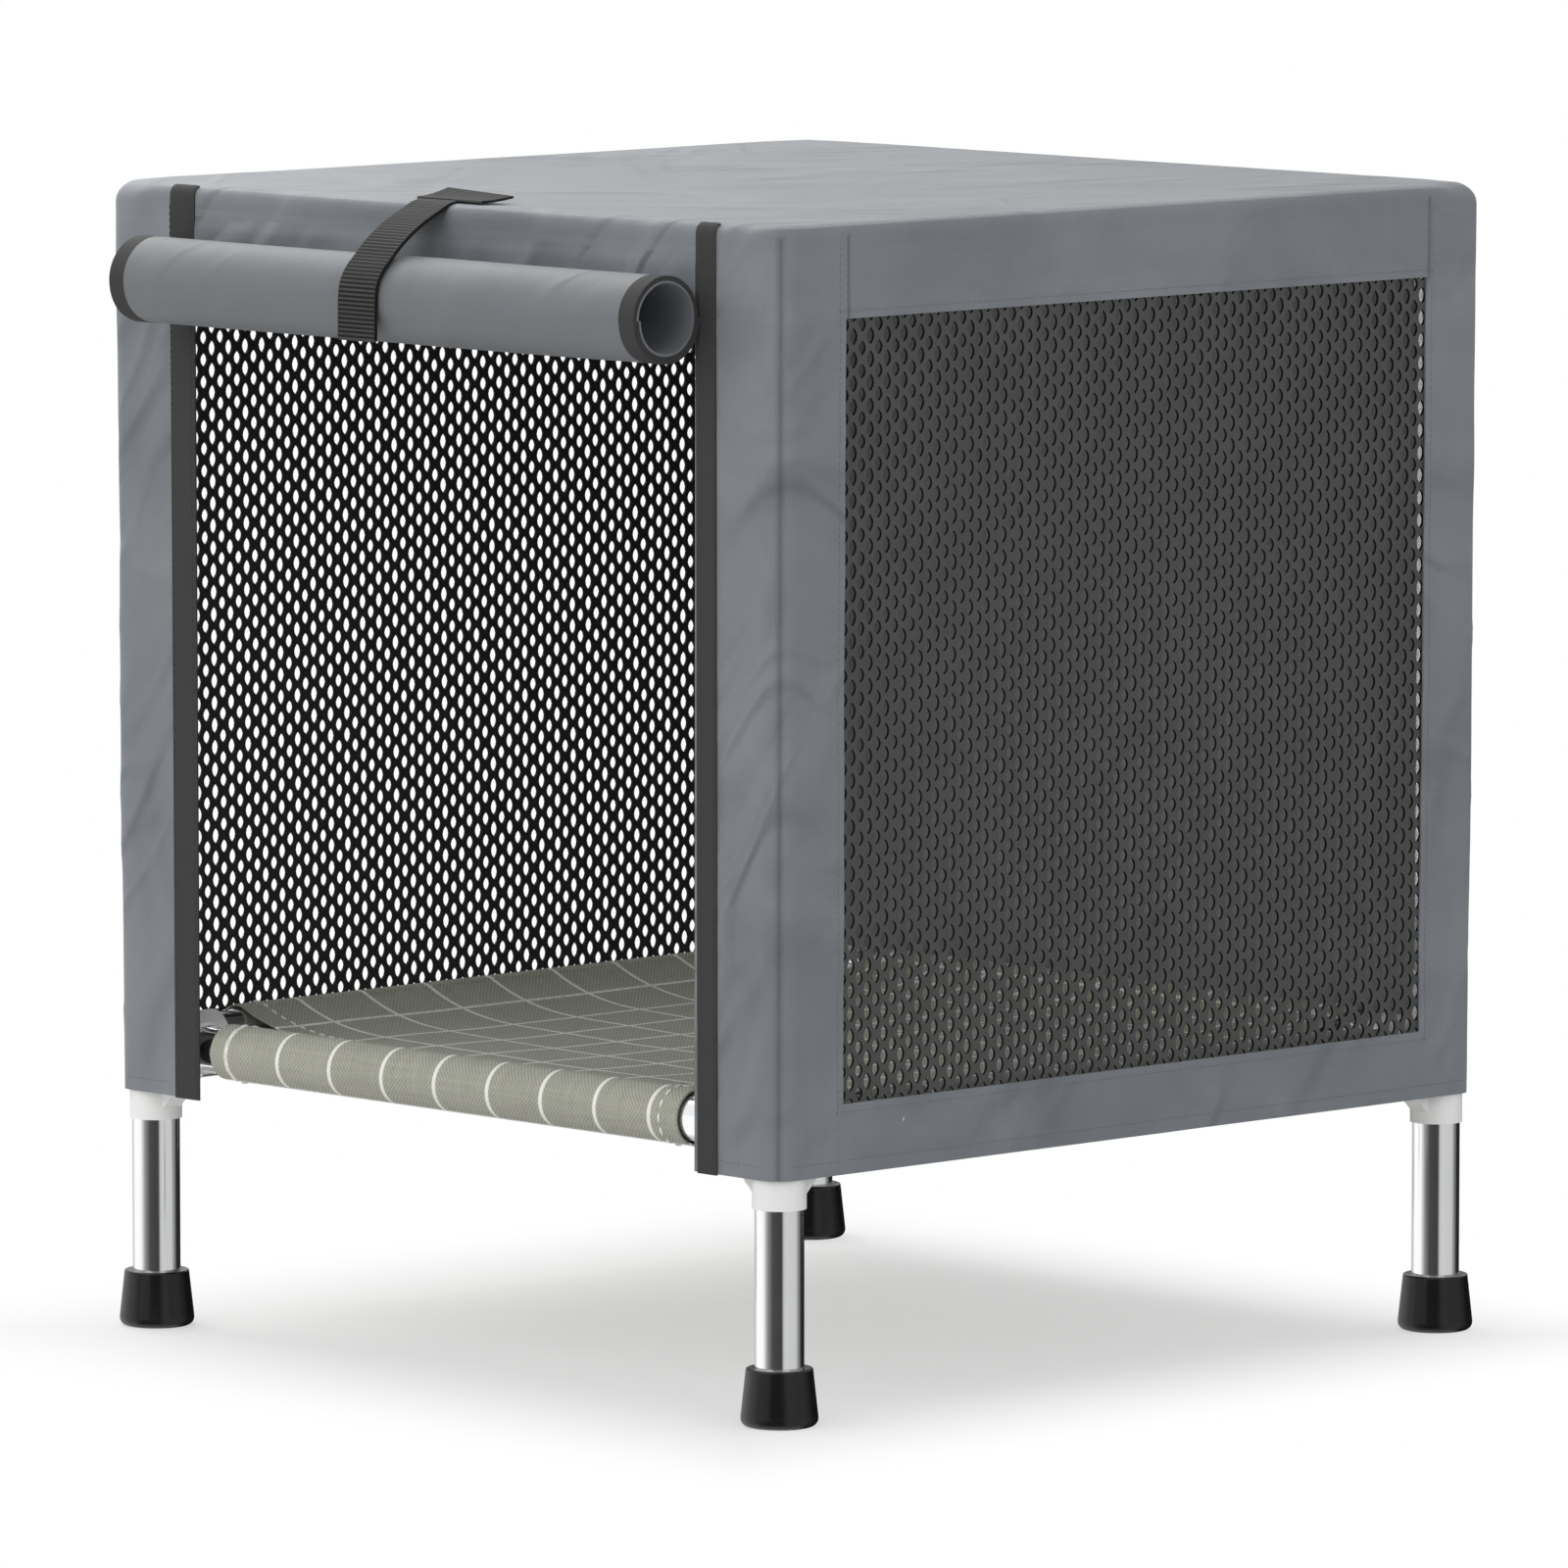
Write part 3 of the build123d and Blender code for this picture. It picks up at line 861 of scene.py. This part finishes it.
sling_cloth = 1.1 * mm
sling_step = 6 * mm
sleeve_r = tube_r + 1.6 * mm
sleeve_end = 60 * mm  # from a corner's axis to the front and back sleeves
side_sleeve_end = 57 * mm  # and to the side sleeves
hem_in = 14.4 * mm  # from the cut edges to their hem stitches
lean = radians(24)  # slope of the deck where it leaves a sleeve
lean_in = sleeve_r * sin(lean)  # and how far in from the rail's axis that is
deck_fall = 80 * mm  # width of the slope beside a sleeve
deck_curve = 2.6  # how early that slope runs out
deck_rise = 1.0 * mm  # deck above the rails' axis past that slope
deck_dip = 5.0 * mm
deck_ripple = 0.8 * mm
ripple_scale = 14
seam_in = 33 * mm  # from a rail's axis to the seam that closes its sleeve
seam_under = 3.0 * mm  # that seam's lower layer below the deck
sleeve_steps = 26  # round a sleeve
closing_steps = 5  # from there to its seam
notch_x = rail_half - sleeve_end
notch_y = rail_depth_half - side_sleeve_end


def slope_share(inward):
    """How much of the slope beside a sleeve is left at a distance in from the rail's axis."""
    return max(0.0, 1 - max(0.0, inward - lean_in) / (deck_fall - lean_in)) ** deck_curve


def deck_height(x, y):
    """Height of the middle of the deck's cloth."""
    off_y = y - rail_middle
    share_x = slope_share(rail_half - abs(x))
    share_y = slope_share(rail_depth_half - abs(off_y))
    slope = 1 - (1 - share_x) * (1 - share_y)
    hollow = (1 - (x / rail_half) ** 2) * (1 - (off_y / rail_depth_half) ** 2)
    ripple = noise.noise((x * ripple_scale, y * ripple_scale, 2.0)) * deck_ripple * (1 - slope)
    fall = (sleeve_r * cos(lean) - deck_rise) * slope
    return rail_z + deck_rise + fall - deck_dip * max(0, hollow) + ripple


def build_sling():
    """The deck with its cut corners and a sleeve round each rail, as one sheet."""
    work = bmesh.new()
    reach_x = rail_half - lean_in
    reach_y = rail_depth_half - lean_in
    xs = even_lines([-reach_x, reach_x], sling_step)
    ys = even_lines([rail_middle - reach_y, rail_middle + reach_y], sling_step)
    work.from_mesh(grid_mesh("deck", xs, ys, lambda x, y: ((x, y, deck_height(x, y)), (x, y))))
    for way in both_ways:
        slice_at(work, 0, way * notch_x)
        slice_at(work, 1, rail_middle + way * notch_y)
    spare = []
    for f in work.faces:
        middle = f.calc_center_median()
        if abs(middle.x) > notch_x and abs(middle.y - rail_middle) > notch_y:
            spare.append(f)
    bmesh.ops.delete(work, geom=spare, context="FACES")

    turns = np.linspace(lean, -lean - pi, sleeve_steps + 1)
    loop = [Vector((sleeve_r * sin(a), sleeve_r * cos(a))) for a in turns]
    closed = Vector((seam_in, deck_rise + (sleeve_r - deck_rise) * slope_share(seam_in) - seam_under))
    loop += [loop[-1].lerp(closed, k / closing_steps) for k in range(1, closing_steps + 1)]
    run = lengths_along(loop)

    def sleeve(axis, way, span, place):
        """Cloth from the deck round one rail and back to its seam."""
        def at(u, k):
            flat = place(u, axis - way * (lean_in - run[k]))
            return (*place(u, axis - way * loop[k].x), rail_z + loop[k].y), flat

        work.from_mesh(grid_mesh("sleeve", span, range(len(loop)), at))

    along_x = even_lines([-notch_x, notch_x], sling_step)
    along_y = even_lines([rail_middle - notch_y, rail_middle + notch_y], sling_step)
    for way in both_ways:
        sleeve(rail_middle + way * rail_depth_half, way, along_x, lambda u, across: (u, across))
    for way in both_ways:
        sleeve(way * rail_half, way, along_y, lambda u, across: (across, u))

    bmesh.ops.recalc_face_normals(work, faces=work.faces[:])
    mesh = bpy.data.meshes.new("sling")
    work.to_mesh(mesh)
    work.free()
    mesh.materials.append(sling_check)
    return smooth(thicken(add_object("sling_cloth", mesh), sling_cloth))


sling_piece = build_sling()
belongs(sling_piece, "frame", "sling_cloth", "sling")


# Door flap

flap_cloth = 0.9 * mm
edging_cloth = 1.15 * mm
edging_short = 1.5 * mm  # how much shorter the edging is at its outer end
turn_pitch = 1.3 * mm
half_turns = 7
half_turn_steps = 26
uneven_depth = 0.5 * mm  # how uneven the roll is along its width
uneven_scale = 9
uneven_in = 0.9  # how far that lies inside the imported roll
plain_half = flap_half - edging_width
seam_rows = 6
stretch_rows = 56
stretch_gap = 0.3 * mm  # between the flat stretch and the door tapes
stretch_hug = 14 * mm  # width of its sides that lie on the cloth behind
stretch_free = 6 * mm  # above the roll's axis, from where it leans to that cloth
stretch_step = 8 * mm
seam_sink = 1.1  # how far its seam sinks into that cloth, in its own thickness
flap_step = 6 * mm
edging_step = 2 * mm


def roll_line():
    """Points of the rolled flap's middle line, from the stretch behind the roll to its inner end."""
    out = []
    for turn in range(half_turns):
        back = turn % 2
        centre = roll_y - back * turn_pitch / 2
        radius = roll_r - flap_cloth / 2 - turn * turn_pitch / 2
        for k in range(half_turn_steps + (turn == half_turns - 1)):
            angle = pi * back - pi * k / half_turn_steps
            out.append((centre + radius * cos(angle), roll_z + radius * sin(angle)))
    return out


def build_roll(name, node, slot, low_x, high_x, thickness, finish, step):
    """A length of the rolled flap, a little uneven along its width, in plain cloth past its outer turns."""
    line = roll_line()
    run = lengths_along(line)
    columns = even_lines([low_x, high_x], step)

    def at(i, x):
        y, z = line[i]
        out = Vector((0, y - roll_y, z - roll_z)).normalized()
        uneven = noise.noise((x * uneven_scale, atan2(out.z, out.y), 3.0)) - uneven_in
        return Vector((x, y, z)) + out * uneven * uneven_depth, (x, run[i])

    # the roll and the edgings' inner turns take the flap's inside cloth with its painted shade
    roll = grid_sheet(name, range(len(line)), columns, at, finish, flap_inside)
    outer_faces = (half_turns - 2) * half_turn_steps * (len(columns) - 1)
    for face in roll.data.polygons:
        face.material_index = 0 if face.index < outer_faces else 1
    smooth(thicken(roll, thickness))
    belongs(roll, "flap_roll", slot, node)
    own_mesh(roll)
    return roll


def build_stretch():
    """Flat flap from its folded seam on the cover down to the back of the roll."""
    low_x = left_tape_x + left_tape_width + stretch_gap
    columns = even_lines([low_x, right_tape_x - stretch_gap], stretch_step)
    rows = [*np.linspace(seam_high.z, seam_low.z, seam_rows + 1),
            *np.linspace(seam_low.z, roll_z, stretch_rows + 1)[1:]]
    face_y = stretch_low.y + flap_cloth / 2

    def at(z, x):
        lap = ramp(z, roll_z + stretch_free, seam_low.z)
        sink = ramp(z, seam_low.z, seam_high.z)
        side = min(x - low_x, columns[-1] - x)
        hug = max(lap, 1 - ramp(side, 0, stretch_hug))
        wall_y = on_cover(x, cover_low.y, z, flap_cloth * (0.5 - seam_sink * sink)).y
        return (x, face_y + (wall_y - face_y) * hug, z), (x, z)

    stretch = grid_sheet("flap_stretch", rows, columns, at, cover_outside)
    return smooth(thicken(stretch, flap_cloth))


flap_roll = build_roll("rolled_flap", "flap_roll", "cover_cloth", -plain_half, plain_half,
                       flap_cloth, flap_inside, flap_step)
edging_left = build_roll("rolled_edging_left", "flap_edging_left", "door_tape", -flap_half + edging_short,
                         -plain_half, edging_cloth, tape_dark, edging_step)
edging_right = build_roll("rolled_edging_right", "flap_edging_right", "door_tape", plain_half,
                          flap_half - edging_short, edging_cloth, tape_dark, edging_step)
flap_stretch = build_stretch()
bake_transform(flap_stretch)
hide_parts("flap_seam", "flap_sheet")


# Strap

strap_width = strap_high.x - strap_low.x + 2 * mm
strap_x = strap_low.x + strap_width / 2
strap_body = 1.8 * mm
strap_step = 1.6 * mm
strap_columns = 11
rib_pitch = 2.2 * mm
rib_r = 1.12 * mm
rib_short = 0.6 * mm  # how much narrower the ribs are than the webbing
patch_low = Vector((strap_low.x - 3.2 * mm, cover_low.y + 7.6 * mm))
patch_high = Vector((strap_high.x + 20.0 * mm, patch_low.y + 21.5 * mm))
patch_body = 1.0 * mm
patch_seat = 1.5 * mm  # middle of the sewn patch above the roof
patch_rise = 4.4 * mm  # how far its loose back edge stands up
patch_curl = 1.6  # how late that edge turns up
patch_tilt = 0.5  # how much less it does so at its right end
patch_step = 3 * mm
patch_rib_r = 0.75 * rib_r
patch_rib_in = 0.4 * mm  # first rib, from the front edge
patch_rib_step = 1.5 * mm
strap_bend = (  # its free curve from the roof to the roll, in mm from the roll's axis
    (36, 47.8), (27.5, 46.8), (20, 43.6), (8.6, 38.0), (-0.2, 32.5), (-7.5, 26.8), (-13.4, 21.0),
    (-18.6, 15.9), (-22.6, 9.3))
strap_path = [
    (patch_low.y + 14 * mm, roll_z + 47.7 * mm),
    *((roll_y + y * mm, roll_z + z * mm) for y, z in strap_bend),
    (roll_y - roll_r - 1.1 * mm, roll_z + 1.5 * mm),
    (roll_y - roll_r - 1.4 * mm, strap_low.z)]


def build_row_tree(name, sizes, shape):
    """Copies of a shape at one pitch along curves, where shape gives a mesh node and how it is set."""
    inputs = ["Geometry", "Pitch", *sizes, "Material"]
    tree, given, result = new_group("GeometryNodeTree", name, inputs, ["Geometry"])
    spaced = add(tree, "GeometryNodeResampleCurve", {"Curve": given["Geometry"], "Length": given["Pitch"]},
                 mode="LENGTH")
    piece, setting = shape(tree, given)
    copies = add(tree, "GeometryNodeInstanceOnPoints",
                 {"Points": spaced.outputs[0], "Instance": piece.outputs["Mesh"], **setting})
    make_real(tree, given, result, copies)
    return tree


def rib_shape(tree, given):
    """A round rib across a strap."""
    rib = add(tree, "GeometryNodeMeshCylinder",
              {"Vertices": 8, "Radius": given["Radius"], "Depth": given["Width"]})
    return rib, {"Rotation": (0, pi / 2, 0)}


def stitch_shape(tree, given):
    """A stitch that lies along its row."""
    bead = add(tree, "GeometryNodeMeshUVSphere", {"Segments": 6, "Rings": 4, "Radius": 0.5})
    along = tree.nodes.new("GeometryNodeInputTangent").outputs[0]
    turned = add(tree, "FunctionNodeAlignRotationToVector", {"Vector": along}, axis="Z")
    thick = given["Thickness"]
    size = add(tree, "ShaderNodeCombineXYZ", {0: thick, 1: thick, 2: given["Length"]})
    return bead, {"Rotation": turned.outputs[0], "Scale": size.outputs[0]}


rib_tree = build_row_tree("strap_ribs", ("Width", "Radius"), rib_shape)
stitch_tree = build_row_tree("stitch_row", ("Length", "Thickness"), stitch_shape)


def poly_curve(name, lines):
    """A curve object of straight runs through each list of points."""
    curve = bpy.data.curves.new(name, "CURVE")
    curve.dimensions = "3D"
    for line in lines:
        spline = curve.splines.new("POLY")
        spline.points.add(len(line) - 1)
        for point, place in zip(spline.points, line):
            point.co = (*place, 1)
    return add_object(name, curve)


def build_ribs(name, line, width, radius):
    """Ribs across a piece of webbing, along its middle line."""
    values = {"Pitch": rib_pitch, "Width": width - rib_short, "Radius": radius, "Material": strap_dark}
    return use_tree(poly_curve(name, [line]), rib_tree, values)


def build_strap():
    """Ribbed webbing, sewn to the roof at one end and hung round the roll."""
    path = smooth_path(strap_path, strap_step)
    columns = np.linspace(strap_x - strap_width / 2, strap_x + strap_width / 2, strap_columns)
    # the band carries painted shade between the ribs and along its edges
    band = grid_sheet("strap_band", range(len(path)), columns,
                      lambda i, x: ((x, *path[i]), (x, i * strap_step)), strap_band_black_and_shade)
    thicken(band, strap_body)
    ribs = build_ribs("strap_ribs", [(strap_x, y, z) for y, z in path], strap_width, rib_r)
    for piece in (band, ribs):
        smooth(piece)
        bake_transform(piece)
    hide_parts("tie_strap")


def patch_height(x, y):
    """Middle of the sewn patch: on the roof at its front edge, loose and a little raised at its back."""
    back = (y - patch_low.y) / (patch_high.y - patch_low.y)
    right = (x - patch_low.x) / (patch_high.x - patch_low.x)
    seat = on_cover(x, y, cover_high.z).z + patch_seat
    return seat + patch_rise * max(0, back) ** patch_curl * (1 - patch_tilt * right)


def build_patch():
    """The webbing patch that holds the strap's end on the roof."""
    columns = even_lines([patch_low.x, patch_high.x], patch_step)
    rows = even_lines([patch_low.y, patch_high.y], strap_step)
    # the patch's body carries the same painted shade between its ribs
    patch = grid_sheet("strap_patch", rows, columns,
                       lambda y, x: ((x, y, patch_height(x, y)), (x, y)), strap_band_black_and_shade)
    thicken(patch, patch_body)
    middle = (patch_low.x + patch_high.x) / 2
    spots = even_lines([rows[0] + patch_rib_in, rows[-1] - rib_r], patch_rib_step)
    line = [(middle, y, patch_height(middle, y)) for y in spots]
    ribs = build_ribs("strap_patch_ribs", line, patch_high.x - patch_low.x, patch_rib_r)
    for v in ribs.data.vertices:
        v.co.z += patch_height(v.co.x, v.co.y) - patch_height(middle, v.co.y)
    belongs(smooth(patch), "cover", "strap_webbing", "strap_anchor")
    belongs(smooth(ribs), "cover", "strap_webbing")


build_strap()
build_patch()


# Stitches

stitch_step = 4 * mm  # between the points of a row
deck_lift = 0.75 * mm  # middle of the stitches above the deck's middle
ring_lift = 0.3 * mm  # and above the sleeves' cloth
corner_in = 6 * mm  # from a rail's axis to the ends of the hem rows
bead_angle = 60
ring_in = 2 * mm  # from the hem rows to the rings
ring_steps = 40
top_margin = 4 * mm  # from an edge of the cover's cloth to its stitches
hem_up = 7 * mm
top_lift = 0.05 * mm  # middle of these stitches above the cloth
tape_in = 2 * mm  # from a tape's edges and lower end to its stitches
tape_lift = tape_thickness + 0.15 * mm  # middle of those above the cloth


def sew(name, lines, thread, body, slot, pitch, length, thickness):
    """Rows of stitches that ride on one body."""
    values = {"Pitch": pitch, "Length": length, "Thickness": thickness, "Material": thread}
    made = use_tree(poly_curve(name, lines), stitch_tree, values)
    belongs(smooth(made, bead_angle), body, slot)


def deck_row(a, b):
    """Points along a straight line over the deck."""
    a, b = Vector(a), Vector(b)
    count = max(2, round((b - a).length / stitch_step))
    spots = [a.lerp(b, k / count) for k in range(count + 1)]
    return [(p.x, p.y, deck_height(p.x, p.y) + deck_lift) for p in spots]


def sling_rows():
    """Seams of the sleeves, of the cut corners, and rings at the sleeves' ends."""
    rows = []
    seam_x = rail_half - seam_in
    seam_y = rail_depth_half - seam_in
    hem_x = notch_x - hem_in
    hem_y = notch_y - hem_in
    end_x = hem_x - hem_in
    end_y = hem_y - hem_in
    for way in both_ways:
        x, y = way * seam_x, rail_middle + way * seam_y
        rows.append(deck_row((-end_x, y), (end_x, y)))
        rows.append(deck_row((x, rail_middle - end_y), (x, rail_middle + end_y)))
    for side in both_ways:
        for face in both_ways:
            inner = (side * hem_x, rail_middle + face * hem_y)
            rows.append(deck_row((side * (rail_half - corner_in), inner[1]), inner))
            rows.append(deck_row((inner[0], rail_middle + face * (rail_depth_half - corner_in)), inner))
    radius = sleeve_r + sling_cloth / 2 + ring_lift
    turns = np.linspace(lean, -lean - pi, ring_steps + 1)
    ring = [(radius * sin(a), rail_z + radius * cos(a)) for a in turns]
    white_line = check_x_start - 4 * check_x
    for face in both_ways:
        for x in (white_line, hem_x + ring_in):
            rows.append([(x, rail_middle + face * (rail_depth_half - inward), z) for inward, z in ring])
    for side in both_ways:
        for way in both_ways:
            rows.append([(side * (rail_half - inward), rail_middle + way * hem_y, z) for inward, z in ring])
    return rows


def cover_rows():
    """Top stitching round the windows, along the hem, and beside the upright seams."""
    rows = []
    low_y, high_y = net_low.y - top_margin, net_high.y + top_margin
    low_z, high_z = net_low.z - top_margin, net_high.z + top_margin
    hem_z = hem + hem_up

    def run(a, b, at):
        count = max(2, round(abs(b - a) / stitch_step))
        rows.append([on_cover(*at(a + (b - a) * k / count), top_lift) for k in range(count + 1)])

    for x in (cover_low.x, cover_high.x):
        for z in (low_z, high_z):
            run(low_y, high_y, lambda y: (x, y, z))
        for y in (low_y, high_y):
            run(low_z, high_z, lambda z: (x, y, z))
            run(high_z + top_margin, cover_high.z - edge_r, lambda z: (x, y, z))
        run(cover_low.y + edge_r, cover_high.y - edge_r, lambda y: (x, y, hem_z))
    run(cover_low.x + edge_r, cover_high.x - edge_r, lambda x: (x, cover_high.y, hem_z))
    for side in both_ways:
        ends = sorted((side * (cover_high.x - edge_r), side * (tape_high.x + top_margin)))
        run(*ends, lambda x: (x, cover_low.y, hem_z))
    return rows


def tape_rows():
    """A row of stitches inside each edge of both door tapes."""
    rows = []
    zs = even_lines([hem + tape_in, cover_high.z - edge_r], tape_step)
    for low_x, width in ((left_tape_x, left_tape_width), (right_tape_x, right_tape_width)):
        for x in (low_x + tape_in, low_x + width - tape_in):
            rows.append([on_cover(x, cover_low.y, z, tape_lift) for z in zs])
    return rows


sew("sling_stitches", sling_rows(), thread_white, "frame", "sling_cloth",
    pitch=7.2 * mm, length=5.2 * mm, thickness=1.5 * mm)
sew("cover_stitches", cover_rows(), thread_grey, "cover", "cover_cloth",
    pitch=3.6 * mm, length=2.6 * mm, thickness=0.45 * mm)
sew("door_tape_stitches", tape_rows(), thread_dark, "cover", "door_tape",
    pitch=3.4 * mm, length=2.5 * mm, thickness=0.4 * mm)


# Studio

camera_place = (5.1676, -4.9063, 1.0689)
camera_azimuth = 46.4
camera_elevation = 6.25
camera_lens = 315.19
camera_sensor = 36
floor_half = 12
floor_fade = (0.2, 0.38)  # from the bed's middle: where the floor starts to turn white, and is white
floor_glow = 0.50  # share of white under the bed
surround_r = 9.0
surround_heights = (-12.0, 1.6)
surround_columns = 72
surround_levels = (  # brightness round the bed, by degrees from the camera
    (-180, 0.45), (-150, 0.6), (-120, 1.2), (-80, 1.15), (-56, 0.32), (-32, 0.07), (12, 0.05), (19, 0.6),
    (30, 0.70), (80, 0.65), (100, 0.25), (118, 0.02), (180, 0.02))
room_light = 0.6
white = (1, 1, 1, 1)


def soft_light(name, place, aim, width, height, watts, colour=(1, 1, 1)):
    """A soft rectangular lamp."""
    data = bpy.data.lights.new(name, "AREA")
    data.shape = "RECTANGLE"
    data.size = width
    data.size_y = height
    data.energy = watts
    data.color = colour
    lamp = add_object(name, data)
    lamp.location = place
    lamp.rotation_euler = (Vector(aim) - Vector(place)).to_track_quat("-Z", "Y").to_euler()


def build_camera():
    """The photograph's viewpoint, fitted to the frame."""
    data = bpy.data.cameras.new("camera")
    data.sensor_width = camera_sensor
    data.lens = camera_lens
    camera = add_object("camera", data)
    camera.location = camera_place
    camera.rotation_euler = (radians(90 - camera_elevation), 0, radians(camera_azimuth))
    scene.camera = camera


def bare_material(name):
    """A material with an empty tree."""
    made = bpy.data.materials.new(name)
    made.use_nodes = True
    made.node_tree.nodes.clear()
    return made, made.node_tree


def seen_share(tree):
    """1 for what is seen, reflected or looked through, and 0 for what only gives light."""
    light = tree.nodes.new("ShaderNodeLightPath").outputs
    mirrored = maths(tree, "MAXIMUM", light["Is Glossy Ray"], light["Is Transmission Ray"])
    return maths(tree, "MAXIMUM", light["Is Camera Ray"], mirrored)


def build_floor():
    """White floor that keeps a light shadow and fades into the white background."""
    corners = [(x * floor_half, y * floor_half, 0) for x, y in ((-1, -1), (1, -1), (1, 1), (-1, 1))]
    floor = add_object("floor", mesh_from("floor", corners, [(0, 1, 2, 3)]))
    made, tree = bare_material("floor_white")
    paper = add(tree, "ShaderNodeBsdfDiffuse", {"Color": (*grey(0.76), 1)})
    glow = add(tree, "ShaderNodeEmission", {"Color": white, "Strength": 1.0})
    place = tree.nodes.new("ShaderNodeTexCoord")
    split = add(tree, "ShaderNodeSeparateXYZ", {0: place.outputs["Object"]})
    away = maths(tree, "MAXIMUM", *(maths(tree, "ABSOLUTE", split.outputs[axis]) for axis in (0, 1)))
    fade = rise(tree, away, floor_fade, (floor_glow, 1.0), soft=True)
    share = maths(tree, "MULTIPLY", seen_share(tree), fade)
    mix = add(tree, "ShaderNodeMixShader", {0: share, 1: paper.outputs[0], 2: glow.outputs[0]})
    add(tree, "ShaderNodeOutputMaterial", {"Surface": mix.outputs[0]})
    floor.data.materials.append(made)
    floor.visible_glossy = False


def build_surround():
    """A ring of studio wall with dark flags, which only the bright metal reflects."""
    made, tree = bare_material("surround_card")
    place = tree.nodes.new("ShaderNodeTexCoord")
    split = add(tree, "ShaderNodeSeparateXYZ", {0: place.outputs["UV"]})
    card = add(tree, "ShaderNodeValToRGB", {0: split.outputs[0]})
    while len(card.color_ramp.elements) < len(surround_levels):
        card.color_ramp.elements.new(0.5)
    for element, (angle, level) in zip(card.color_ramp.elements, surround_levels):
        element.position = (angle + 180) / 360
        element.color = (*grey(level), 1)
    glow = add(tree, "ShaderNodeEmission", {"Color": card.outputs[0], "Strength": 1.0})
    add(tree, "ShaderNodeOutputMaterial", {"Surface": glow.outputs[0]})

    def at(row, k):
        a = radians(camera_azimuth - 180 + 360 * k / surround_columns)
        return (surround_r * sin(a), -surround_r * cos(a), surround_heights[row]), (k / surround_columns, row)

    ring = grid_sheet("surround", (0, 1), range(surround_columns + 1), at, made)
    ring.visible_camera = False
    ring.visible_diffuse = False
    ring.visible_shadow = False
    ring.visible_transmission = False


def build_world():
    """Even white light, and a white background where it is seen or reflected."""
    world = bpy.data.worlds.new("studio")
    scene.world = world
    world.use_nodes = True
    tree = world.node_tree
    tree.nodes.clear()
    room = add(tree, "ShaderNodeBackground", {"Color": white, "Strength": room_light})
    back = add(tree, "ShaderNodeBackground", {"Color": white, "Strength": 1.0})
    mix = add(tree, "ShaderNodeMixShader", {0: seen_share(tree), 1: room.outputs[0], 2: back.outputs[0]})
    add(tree, "ShaderNodeOutputWorld", {"Surface": mix.outputs[0]})


build_camera()
build_floor()
build_surround()
build_world()
soft_light("overhead", (-1.15, 0.1, 1.55), (0, 0, 0.55), 1.3, 1.3, 16.5, (1.0, 0.985, 0.965))
soft_light("front_fill", (0.0, -2.8, 2.3), (0, 0, 0.25), 3.8, 2.2, 26.5)
soft_light("low_fill", (0.2, -3.0, 0.55), (0, 0, 0.3), 1.8, 0.9, 4)
soft_light("right_fill", (3.4, -0.8, 1.6), (0, 0, 0.35), 2.2, 2.2, 14.5)
scene.view_settings.view_transform = "Standard"
